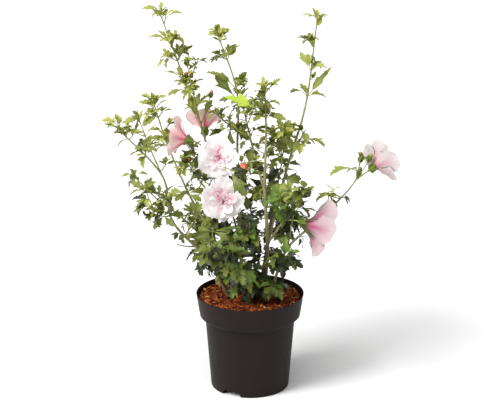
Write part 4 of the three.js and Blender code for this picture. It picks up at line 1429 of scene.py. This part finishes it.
def pot_profile():
    """Radius and height points from the middle of the underside, up the outside and down the inside"""
    foot = [
        (POT_FOOT_RADIUS - FOOT_CHAMFER + FOOT_CHAMFER * math.sin(turn), FOOT_CHAMFER * (1 - math.cos(turn)))
        for turn in (0, math.pi / 8, math.pi / 4, 3 * math.pi / 8, math.pi / 2)]
    body_top = (BODY_TOP_RADIUS, SHOULDER_FOOT)
    band_foot = (BAND_FOOT_RADIUS, BAND_FOOT)
    body = slope((POT_FOOT_RADIUS, FOOT_CHAMFER), body_top, (0.02, 0.25, 0.5, 0.75, 0.97))
    shoulder = slope(body_top, band_foot, (0, 0.04, 0.2, 0.4, 0.6, 0.8, 1), 0.8, 1.35)
    band = slope(band_foot, (RIM_RADIUS, POT_HEIGHT), (0.05, 0.5, 0.9, 0.965))
    lip = [
        (RIM_RADIUS - inset, POT_HEIGHT - drop)
        for inset, drop in ((0.05, 0.8), (0.35, 0.25), (0.9, 0), (WALL - 0.4, 0), (WALL, 0.4))]
    inside = [
        (BAND_FOOT_RADIUS - WALL, BAND_FOOT), (BODY_TOP_RADIUS - WALL, SHOULDER_FOOT),
        (POT_FOOT_RADIUS - WALL + 0.8, BASE_THICKNESS)]
    return [(0, 0), *foot, *body, *shoulder, *band, *lip, *inside, (0, BASE_THICKNESS)]


def notch_cutter(heading):
    """A wedge that cuts one drain notch up into the foot"""
    bm = bmesh.new()
    bmesh.ops.create_cube(bm, size=1)
    start, end = POT_FOOT_RADIUS - NOTCH_DEPTH, POT_FOOT_RADIUS + CUT_MORE
    for vertex in bm.verts:
        across, height = (NOTCH_TOP_WIDTH, NOTCH_HEIGHT) if vertex.co.z > 0 else (NOTCH_WIDTH, -CUT_MORE)
        vertex.co = Vector((end if vertex.co.x > 0 else start, vertex.co.y * across, height))
    turn = Matrix.Rotation(math.radians(heading), 3, "Z")
    bmesh.ops.rotate(bm, cent=(0, 0, 0), matrix=turn, verts=bm.verts)
    return new_object("notch", mesh_of(bm, "notch"))


def make_pot():
    bm = spun(pot_profile(), POT_SIDES, 1e-4)
    bmesh.ops.recalc_face_normals(bm, faces=bm.faces)
    pot = piece("pot_shell", mesh_of(bm, "pot_shell"), materials["pot_plastic"], ["pot"])
    cutters = [notch_cutter(heading) for heading in NOTCH_HEADINGS]
    for cutter in cutters:
        cut = pot.modifiers.new("notch", "BOOLEAN")
        cut.operation = "DIFFERENCE"
        cut.solver = "EXACT"
        cut.object = cutter
    bpy.context.view_layer.update()
    whole = bpy.data.meshes.new_from_object(pot.evaluated_get(bpy.context.evaluated_depsgraph_get()))
    pot.modifiers.clear()
    pot.data = whole
    for cutter in cutters:
        bpy.data.objects.remove(cutter)
    whole.shade_smooth()
    whole.set_sharp_from_angle(angle=math.radians(38))
    return pot


# Bark mulch: chips lie on the bark's top, in four colours
CHIP_COLOURS = ("chips_red", "chips_orange", "chips_dark", "chips_straw")
CHIP_SHARES = (0.46, 0.74, 0.94, 1.0)
CHIP_COUNT = 3600
CHIP_FIELD_RADIUS = 107
CHIP = Values(
    long=(4, 15), wide=(0.16, 0.5), thick=(0.7, 2.2), lean=(-0.3, 0.3), roll=(-0.5, 0.5), clear=1, end=0.62,
    skew=0.16)
# How the chips lie above the bark's top: the lowest, how far they pile up, and the height and width of mounds
PILE = Values(least=0.8, more=2.6, mound=1.6, mound_scale=0.05, lean_more=0.2)


def chip_shape(bend):
    """A split of bark a unit long, thin, with ragged ends"""
    bm = bmesh.new()
    bmesh.ops.create_cube(bm, size=1)
    bmesh.ops.subdivide_edges(bm, edges=edges_along(bm, 0), cuts=1)
    for vertex in bm.verts:
        middle = abs(vertex.co.x) < 0.1
        vertex.co.y *= 1.0 if middle else CHIP.end
        vertex.co.x += CHIP.skew * vertex.co.y * (1 if vertex.co.x > 0 else -1) * bend
        vertex.co.z += bend * 0.5 if middle else 0
    return Shape(bm)


CHIPS = [chip_shape(bend) for bend in (-0.8, 0.5, 1.1)]


def scatter_chips():
    draw = seeded(SEEDS.chips)
    feet = [(Vector(spec["foot"]), spec["thick"][0] / 2) for spec in CANES.values()]
    for i in range(CHIP_COUNT):
        radius = CHIP_FIELD_RADIUS * math.sqrt(draw())
        heading = draw() * TURN
        spot = Vector((radius * math.cos(heading), radius * math.sin(heading)))
        long = lerp(*CHIP.long, draw() ** 1.6)
        wide = long * lerp(*CHIP.wide, draw())
        thick = lerp(*CHIP.thick, draw())
        lift = draw()
        turn = draw() * TURN
        lean = lerp(*CHIP.lean, draw())
        roll = lerp(*CHIP.roll, draw())
        luck = draw()
        if any((spot - foot).length < thickness + CHIP.clear for foot, thickness in feet):
            continue
        if radius + long / 2 > CHIP_FIELD_RADIUS + CHIP.clear:
            turn = heading + math.pi / 2
        mound = PILE.mound * noise.noise(Vector((spot.x, spot.y, 0)) * PILE.mound_scale)
        height = BARK_TOP + PILE.least + PILE.more * lift + mound
        height += abs(math.sin(lean)) * long * PILE.lean_more
        shape = CHIPS[i % len(CHIPS)]
        matrix = Matrix.Rotation(turn, 3, "Z") @ Matrix.Rotation(lean, 3, "Y") @ Matrix.Rotation(roll, 3, "X")
        sized = shape.points * (long, wide, thick)
        kind = dealt(CHIP_COLOURS, CHIP_SHARES, luck)
        heap(kind).add(shape, sized @ np.array(matrix).T + (spot.x, spot.y, height))


# Materials
def paint(code):
    """A colour from its usual hex number, for a shader"""
    parts = ((code >> 16) & 255, (code >> 8) & 255, code & 255)
    return tuple(((part / 255 + 0.055) / 1.055) ** 2.4 if part > 10 else part / 3295 for part in parts) + (1,)


class Nodes:
    """Adds and links the nodes of one material or group"""

    def __init__(self, tree):
        self.tree = tree

    def add(self, kind, inputs=None, **settings):
        node = self.tree.nodes.new("ShaderNode" + kind)
        for name, value in settings.items():
            setattr(node, name, value)
        for name, value in (inputs or {}).items():
            if isinstance(value, bpy.types.NodeSocket):
                self.tree.links.new(value, node.inputs[name])
            else:
                node.inputs[name].default_value = value
        return node

    def math(self, operation, first, second=0.0):
        return self.add("Math", {0: first, 1: second}, operation=operation).outputs[0]

    def mix(self, share, first, second):
        return self.add("Mix", {0: share, 6: first, 7: second}, data_type="RGBA").outputs[2]

    def range(self, value, low, high, to_low=0.0, to_high=1.0):
        return self.add("MapRange", {0: value, 1: low, 2: high, 3: to_low, 4: to_high}).outputs[0]


def group(name, inputs, outputs):
    """An empty node group with these numbers as its inputs and outputs"""
    tree = bpy.data.node_groups.new(name, "ShaderNodeTree")
    for socket, value in inputs.items():
        made = tree.interface.new_socket(name=socket, in_out="INPUT", socket_type="NodeSocketFloat")
        made.default_value = value
    for socket in outputs:
        tree.interface.new_socket(name=socket, in_out="OUTPUT", socket_type="NodeSocketFloat")
    return tree, tree.nodes.new("NodeGroupInput"), tree.nodes.new("NodeGroupOutput")


def connect(nodes, value, socket):
    nodes.tree.links.new(value, socket)


def mottle_group():
    """Soft patches over a surface, from its own place"""
    tree, entry, leave = group("mottle", {"Scale": 40.0, "Stretch": 1.0}, ("Patches", "Grain"))
    nodes = Nodes(tree)
    place = nodes.add("TexCoord").outputs["Object"]
    stretch = nodes.add("CombineXYZ", {0: 1.0, 1: 1.0, 2: entry.outputs["Stretch"]}).outputs[0]
    spot = nodes.add("VectorMath", {0: place, 1: stretch}, operation="MULTIPLY").outputs[0]
    scale = entry.outputs["Scale"]
    patches = nodes.add("TexNoise", {"Vector": spot, "Scale": scale, "Detail": 3.0}).outputs[0]
    fine = nodes.math("MULTIPLY", scale, 7.0)
    grain = nodes.add("TexNoise", {"Vector": spot, "Scale": fine, "Detail": 4.0, "Roughness": 0.6}).outputs[0]
    connect(nodes, nodes.range(patches, 0.3, 0.7), leave.inputs["Patches"])
    connect(nodes, grain, leave.inputs["Grain"])
    return tree


def vein_group():
    """Midrib and side veins of a leaf, from the map that runs across and along it"""
    tree, entry, leave = group("leaf_veins", {"Pairs": 8.0}, ("Veins", "Across"))
    nodes = Nodes(tree)
    place = nodes.add("UVMap", uv_map="across_along").outputs[0]
    parts = nodes.add("SeparateXYZ", {0: place})
    across = nodes.math("ABSOLUTE", nodes.math("SUBTRACT", parts.outputs[0], 0.5))
    midrib = nodes.range(across, 0.012, 0.05, 1.0, 0.0)
    row = nodes.math("FRACT", nodes.math("MULTIPLY", parts.outputs[1], entry.outputs["Pairs"]))
    near = nodes.math("ABSOLUTE", nodes.math("SUBTRACT", row, 0.5))
    side = nodes.range(near, 0.04, 0.14, 0.6, 0.0)
    connect(nodes, nodes.math("MAXIMUM", midrib, side), leave.inputs["Veins"])
    connect(nodes, nodes.math("MULTIPLY", across, 2.0), leave.inputs["Across"])
    return tree


GROUPS = {"mottle": mottle_group(), "leaf_veins": vein_group()}


def surface(name, roughness, specular, **more):
    """A new material with its shader, and the nodes to build it with. more are other values of the shader."""
    material = bpy.data.materials.new(name)
    material.use_nodes = True
    nodes = Nodes(material.node_tree)
    shader = material.node_tree.nodes["Principled BSDF"]
    for socket, value in {"Roughness": roughness, "Specular IOR Level": specular, **more}.items():
        shader.inputs[socket].default_value = value
    return material, nodes, shader


def placed(nodes, name, **values):
    node = nodes.add("Group")
    node.node_tree = GROUPS[name]
    for socket, value in values.items():
        node.inputs[socket].default_value = value
    return node.outputs


def coat(nodes, shader, colour, height, strength, distance):
    """Gives a shader its colour and its relief"""
    connect(nodes, colour, shader.inputs["Base Color"])
    node = nodes.add("Bump", {"Strength": strength, "Distance": distance, "Height": height})
    connect(nodes, node.outputs[0], shader.inputs["Normal"])


def pot_plastic():
    material, nodes, shader = surface("pot_plastic", 0.5, 0.14)
    soft = placed(nodes, "mottle", Scale=9.0, Stretch=0.5)
    fine = placed(nodes, "mottle", Scale=160.0)
    colour = nodes.mix(soft["Patches"], paint(0x1b1312), paint(0x211817))
    connect(nodes, nodes.range(soft["Grain"], 0.2, 0.8, 0.5, 0.62), shader.inputs["Roughness"])
    coat(nodes, shader, colour, fine["Grain"], 0.12, 0.0004)
    return material


def cane_bark():
    material, nodes, shader = surface("cane_bark", 0.72, 0.3)
    height = nodes.add("SeparateXYZ", {0: nodes.add("TexCoord").outputs["Object"]}).outputs[2]
    streaks = placed(nodes, "mottle", Scale=170.0, Stretch=0.12)
    spots = placed(nodes, "mottle", Scale=420.0)
    old = nodes.mix(streaks["Patches"], paint(0x6f6145), paint(0x968a66))
    fresh = nodes.mix(streaks["Patches"], paint(0x84825a), paint(0xa2a072))
    age = nodes.range(height, 0.26, 0.4)
    colour = nodes.mix(age, old, fresh)
    lenticels = nodes.range(spots["Grain"], 0.6, 0.68)
    colour = nodes.mix(nodes.math("MULTIPLY", lenticels, 0.5), colour, paint(0xb9a982))
    coat(nodes, shader, colour, streaks["Grain"], 0.5, 0.0006)
    return material


TWIG_SKIN = Values(roughness=0.55, specular=0.35, scale=120.0, stretch=0.3, relief=(0.25, 0.0003))
CHIP_SKIN = Values(roughness=0.85, specular=0.2, scale=130.0, stretch=1.0, relief=(0.6, 0.0008))
PLAIN_SKIN = Values(roughness=0.6, specular=0.3, scale=60.0, stretch=1.0, relief=(0.2, 0.0004))


def two_tone(name, dark, light, skin, roughness=None):
    """A surface with soft patches of two colours and a fine grain"""
    material, nodes, shader = surface(name, roughness or skin.roughness, skin.specular)
    mottle = placed(nodes, "mottle", Scale=skin.scale, Stretch=skin.stretch)
    colour = nodes.mix(mottle["Patches"], paint(dark), paint(light))
    coat(nodes, shader, colour, mottle["Grain"], *skin.relief)
    return material


def leaf_skin(name, dark, light, vein, gloss, glow):
    """gloss is the roughness where a leaf shines most, and glow stands for the light that comes through"""
    material, nodes, shader = surface(name, 0.5, 0.4, **{"Emission Strength": glow})
    veins = placed(nodes, "leaf_veins", Pairs=8.0)
    patches = placed(nodes, "mottle", Scale=28.0)
    blade = nodes.mix(patches["Patches"], paint(dark), paint(light))
    colour = nodes.mix(nodes.math("MULTIPLY", veins["Veins"], 0.4), blade, paint(vein))
    connect(nodes, colour, shader.inputs["Emission Color"])
    connect(nodes, nodes.range(patches["Grain"], 0.2, 0.8, gloss, gloss + 0.14), shader.inputs["Roughness"])
    relief = nodes.math("SUBTRACT", patches["Grain"], nodes.math("MULTIPLY", veins["Veins"], 0.8))
    coat(nodes, shader, colour, relief, 0.4, 0.0007)
    return material


def petal_skin(name, throat, middle, rim, spread, flame, glow):
    """Petals: strongly coloured in the throat, paler towards the edge, with fine streaks along them. flame is
    how strongly the throat's colour runs up the middle, and glow stands for the light that comes through a
    petal."""
    material, nodes, shader = surface(
        name, 0.6, 0.25, **{"Emission Strength": glow, "Sheen Weight": 0.1, "Sheen Roughness": 0.5})
    place = nodes.add("UVMap", uv_map="across_along").outputs[0]
    parts = nodes.add("SeparateXYZ", {0: place})
    stretch = nodes.add("VectorMath", {0: place, 1: (34.0, 1.6, 1.0)}, operation="MULTIPLY").outputs[0]
    streak = nodes.add("TexNoise", {"Vector": stretch, "Scale": 1.0, "Detail": 2.0}).outputs[0]
    along = nodes.math("ADD", parts.outputs[1], nodes.range(streak, 0.3, 0.7, -0.1, 0.1))
    low = nodes.range(along, 0.06, 0.06 + spread)
    high = nodes.range(along, 0.25, 0.95)
    colour = nodes.mix(high, nodes.mix(low, paint(throat), paint(middle)), paint(rim))
    faint = nodes.range(streak, 0.45, 0.75, 0.0, 0.22)
    colour = nodes.mix(faint, colour, paint(middle))
    beside = nodes.math("ABSOLUTE", nodes.math("SUBTRACT", parts.outputs[0], 0.5))
    fade = nodes.range(along, 0.3, 0.85, 1.0, 0.0)
    band = nodes.math("MULTIPLY", nodes.range(beside, 0.02, 0.24, flame, 0.0), fade)
    colour = nodes.mix(band, colour, paint(throat))
    connect(nodes, colour, shader.inputs["Emission Color"])
    coat(nodes, shader, colour, streak, 0.25, 0.0006)
    return material


# Colours of what has two tones: the dark one, the light one, its skin and how rough it is if not as its skin
TWO_TONES = {
    "bark_bed": (0x2a120a, 0x6b2d14, CHIP_SKIN),
    "chips_red": (0x6e2610, 0x9a421d, CHIP_SKIN),
    "chips_orange": (0x9c4a1c, 0xc0702f, CHIP_SKIN),
    "chips_dark": (0x2a130c, 0x4c2413, CHIP_SKIN),
    "chips_straw": (0xb88145, 0xd8ab6c, CHIP_SKIN),
    "twigs_green": (0x7d8440, 0x9aa04f, TWIG_SKIN),
    "twigs_brown": (0x6d6a3c, 0x8b8a4c, TWIG_SKIN),
    "calyx": (0x5a6928, 0x7d8c3c, PLAIN_SKIN),
    "bracts": (0x343f1b, 0x4d5a28, PLAIN_SKIN, 0.55),
    "column": (0xe9d3c8, 0xf6e8e0, PLAIN_SKIN),
    "anthers": (0xd9b25a, 0xecd283, PLAIN_SKIN, 0.7),
    "buds_orange": (0xd9603a, 0xe98a5c, PLAIN_SKIN),
    "buds_salmon": (0xb64a30, 0xee9a70, PLAIN_SKIN),
    "buds_red": (0x8a2f2a, 0xa94a3c, PLAIN_SKIN),
    "buds_green": (0x8b9a45, 0xa8b45e, PLAIN_SKIN),
}
# Leaves: the dark and the light tone, the veins, the roughness where they shine most and the glow
LEAF_TONES = {
    "leaves_tip": (0x90953f, 0xa7ab50, 0xbebe70, 0.46, 0.09),
    "leaves_young": (0x757d32, 0x8b9340, 0xaaae64, 0.46, 0.08),
    "leaves_mid": (0x505a1f, 0x6a772a, 0x98a258, 0.34, 0.02),
    # The bright leaves are lighter partly as painted light, for sunlit leaves among the dark ones
    "leaves_bright": (0x587225, 0x738f37, 0xa0b862, 0.34, 0.04),
    # The deep leaves are dark partly for their own deeper green and partly as painted shade in the dense
    # foliage
    "leaves_deep": (0x1f240e, 0x303a15, 0x5c6838, 0.28, 0.0),
    "leaves_lime": (0xa9c43a, 0xc3d84e, 0xd8e67c, 0.46, 0.0),
}
# Petals: the throat, the middle and the rim, how far the throat's colour spreads, its flame and the glow
PETAL_TONES = {
    "petals_pale": (0xe28ca6, 0xf4eced, 0xf5f2f1, 0.2, 0.6, 0.08),
    "petals_inner": (0xdc68a0, 0xf5e8ea, 0xf7f3f2, 0.26, 0.6, 0.1),
    "petals_flecked": (0xd02a72, 0xf4a9c4, 0xfaf0f0, 0.4, 1.0, 0.1),
    # Rose is paler and glows most, as painted light for blooms in shade; pink and blush are set darker for
    # full light
    "petals_rose": (0xbc3c5e, 0xeeaeb3, 0xf8dedc, 0.32, 0.9, 0.18),
    "petals_pink": (0xa2385c, 0xae8491, 0xbcadae, 0.3, 0.85, 0.01),
    "petals_blush": (0xbe667a, 0xcab2b4, 0xd2cbc9, 0.25, 0.55, 0.01),
}
materials = {"pot_plastic": pot_plastic(), "cane_bark": cane_bark()}
for skin, tones in ((two_tone, TWO_TONES), (leaf_skin, LEAF_TONES), (petal_skin, PETAL_TONES)):
    materials.update({name: skin(name, *row) for name, row in tones.items()})
# Which kinds go in each slot. All other kinds are leaf.
SLOTS = {
    "cane": ("twigs_green", "twigs_brown"),
    "young_leaf": ("leaves_tip", "leaves_young", "leaves_lime"),
    "pale_petal": ("petals_pale", "petals_inner", "petals_flecked", "petals_blush", "column", "anthers"),
    "pink_petal": ("petals_rose", "petals_pink", "buds_orange", "buds_salmon", "buds_red"),
    "bark": CHIP_COLOURS,
}
WORLD_STRENGTH = 0.37
# Soft far lights: which way they shine, the degrees they are spread over and their strength
SUNS = {"key": ((0.8, 0.5, -0.8), 28, 2.9), "top": ((0.1, 0.25, -1), 50, 1.4)}
FLOOR_RADIUS = 9000


def set_camera():
    data = bpy.data.cameras.new("view")
    data.lens = SENSOR_WIDTH * FOCAL_PX / PICTURE_WIDTH_PX
    data.sensor_width = SENSOR_WIDTH
    camera = new_object("view", data)
    rim = POT_HEIGHT * MM
    camera.location = (
        0, -CAMERA_DISTANCE * math.cos(CAMERA_ELEVATION), rim + CAMERA_DISTANCE * math.sin(CAMERA_ELEVATION))
    pitch = CAMERA_ELEVATION - math.atan(RIM_BELOW_MIDDLE_PX / FOCAL_PX)
    camera.rotation_euler = (math.pi / 2 - pitch, 0, 0)
    bpy.context.scene.camera = camera


def add_sun(name, towards, spread, strength):
    data = bpy.data.lights.new(name, "SUN")
    data.angle = math.radians(spread)
    data.energy = strength
    light = new_object(name, data)
    light.rotation_euler = Vector(towards).to_track_quat("-Z", "Y").to_euler()


def set_studio():
    world = bpy.data.worlds.new("studio")
    world.use_nodes = True
    world.node_tree.nodes["Background"].inputs["Color"].default_value = (1, 1, 1, 1)
    world.node_tree.nodes["Background"].inputs["Strength"].default_value = WORLD_STRENGTH
    bpy.context.scene.world = world
    for name, sun in SUNS.items():
        add_sun(name, *sun)
    bpy.context.scene.view_settings.view_transform = "Standard"


def add_floor():
    bm = bmesh.new()
    bmesh.ops.create_circle(bm, cap_ends=True, segments=96, radius=FLOOR_RADIUS)
    floor = new_object("floor", mesh_of(bm, "floor"))
    material, nodes, shader = surface("floor", 0.9, 0.1)
    patches = placed(nodes, "mottle", Scale=0.6)
    colour = nodes.mix(patches["Patches"], (0.94, 0.94, 0.94, 1), (0.95, 0.95, 0.95, 1))
    connect(nodes, colour, shader.inputs["Base Color"])
    floor.data.materials.append(material)


# Firm points stand this far apart along a stem, and a leafy stem starts this far inside its limb
FIRM_STEP = 4
STEM_OVERLAP = 0.2


def plan_stems():
    for name, spec in CANES.items():
        stems[name] = cane_stem(spec)
    for name, spec in SHOOTS.items():
        stems[name] = shoot_stem(stems[spec["on"]], spec)


def add_stems():
    for name, spec in {**CANES, **SHOOTS}.items():
        stem = stems[name]
        firm_stem(stem, max(2, round(stem.length / FIRM_STEP)))
        end = 0
        if name in CANES:
            end = stem.distance_at(spec["bare"]) if "leaf" in spec else stem.length
            add_limb(name, "cane", stem, end)
        elif spec["bare"] >= BOUGH_LEAST:
            end = spec["bare"]
            add_limb(name, "bough", stem, end)
        if "leaf" in spec:
            plan_mass(name, stem, max(end, spec["bare"] if name in SHOOTS else 0), spec)
            add_leafy_stem(stem, max(end - STEM_OVERLAP, 0), spec.get("young"))


def spray_form(spray, habit, size):
    """The form of a leaf in a spray: long single leaves are slender, and most others wedges"""
    if habit == "one_level":
        return "lobed"
    if habit.startswith("long"):
        return "slender"
    if size > WEDGE_FROM and spray.fine() < WEDGE_SHARE:
        return "wedge"
    return leaf_form(spray, size)


def grow_spray(number, on, z, heading, rise, length, habit, leaf, kind):
    stem = stems[on]
    start = stem.point(stem.distance_at(z))
    end = start + way_of(heading, rise) * length
    spray = Values(stem=stem, reach=RIM_RADIUS + length, fine=seeded(number + SEEDS.spray))
    twig = Stem([start, start.lerp(end, 0.5) - UP * (length * SPRAY.sag), end], TWIG_THICK, steps=8)
    towards = TO_FRONT if habit in FACING_HABITS else TO_LIGHT
    grown = 0
    for turn, climb, share, bend in HABITS[habit]:
        way = way_of(turn + lerp(*SPRAY.turn, spray.fine()), climb + lerp(*SPRAY.climb, spray.fine()))
        size = leaf * share * lerp(*SPRAY.size, spray.fine())
        root = twig.point(twig.length * lerp(*SPRAY.root, share)) - way * LEAF_SUNK
        pose = Values(root=root, forward=way, up=squared(towards, way))
        arch = bend * lerp(*SPRAY.bend, spray.fine())
        roll = lerp(*SPRAY.roll, spray.fine())
        grown += put_leaf(spray, pose, size, arch, kind, spray_form(spray, habit, size), roll)
    if grown:
        lay_rod("twigs_green", SPRIG_ROD, twig)


def grow_sprays():
    for number, row in enumerate(SPRAYS):
        grow_spray(number, *row)


def keep_front_bare():
    """Opens the view of the main cane"""
    stem = stems[BARE_FRONT.cane]
    for z in range(BARE_FRONT.low, BARE_FRONT.high, BARE_FRONT.step):
        x, y, height = stem.point(stem.distance_at(z))
        above = height + BARE_FRONT.before * BARE_FRONT.above
        room.open.append((x, y - BARE_FRONT.before, above, BARE_FRONT.radius))


def grow_leaves():
    room.settle()
    keep_front_bare()
    grow_sprays()
    for mass in masses:
        grow_mass(mass)
    for name, spec in CANES.items():
        if "spur_gap" in spec:
            grow_spurs(name, spec, bare_ends[name])


def add_flowers():
    draw = seeded(SEEDS.flowers)
    for spec in BLOOMS.values():
        add_bloom(spec, draw)
    for name, spec in SHOOTS.items():
        if "bud" in spec:
            add_tip_bud(name, spec["bud"], draw)
    for row in SET_BUDS:
        add_set_bud(*row, draw)
    for row in LOOSE_BUDS:
        add_loose_bud(*row, draw)


def nodes_behind(kind):
    """The nodes that a kind of piece stands for, together with the others like it"""
    if kind.startswith(("leaves_", "twigs_")):
        return [f"leaves_{mass.name}" for mass in masses]
    if kind.startswith("petals_"):
        return [f"bloom_{name}" for name in BLOOMS]
    return ()


def finish_heaps():
    for kind, pile in heaps.items():
        slot = next((slot for slot, kinds in SLOTS.items() if kind in kinds), "leaf")
        pile.build(kind, materials[kind], slot, nodes_behind(kind))


def dress_bark_bed():
    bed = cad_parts["bark_mulch"]
    bed.data.materials.clear()
    bed.data.materials.append(materials["bark_bed"])


set_camera()
set_studio()
add_floor()
make_pot()
dress_bark_bed()
scatter_chips()
plan_stems()
add_stems()
add_flowers()
grow_leaves()
finish_heaps()
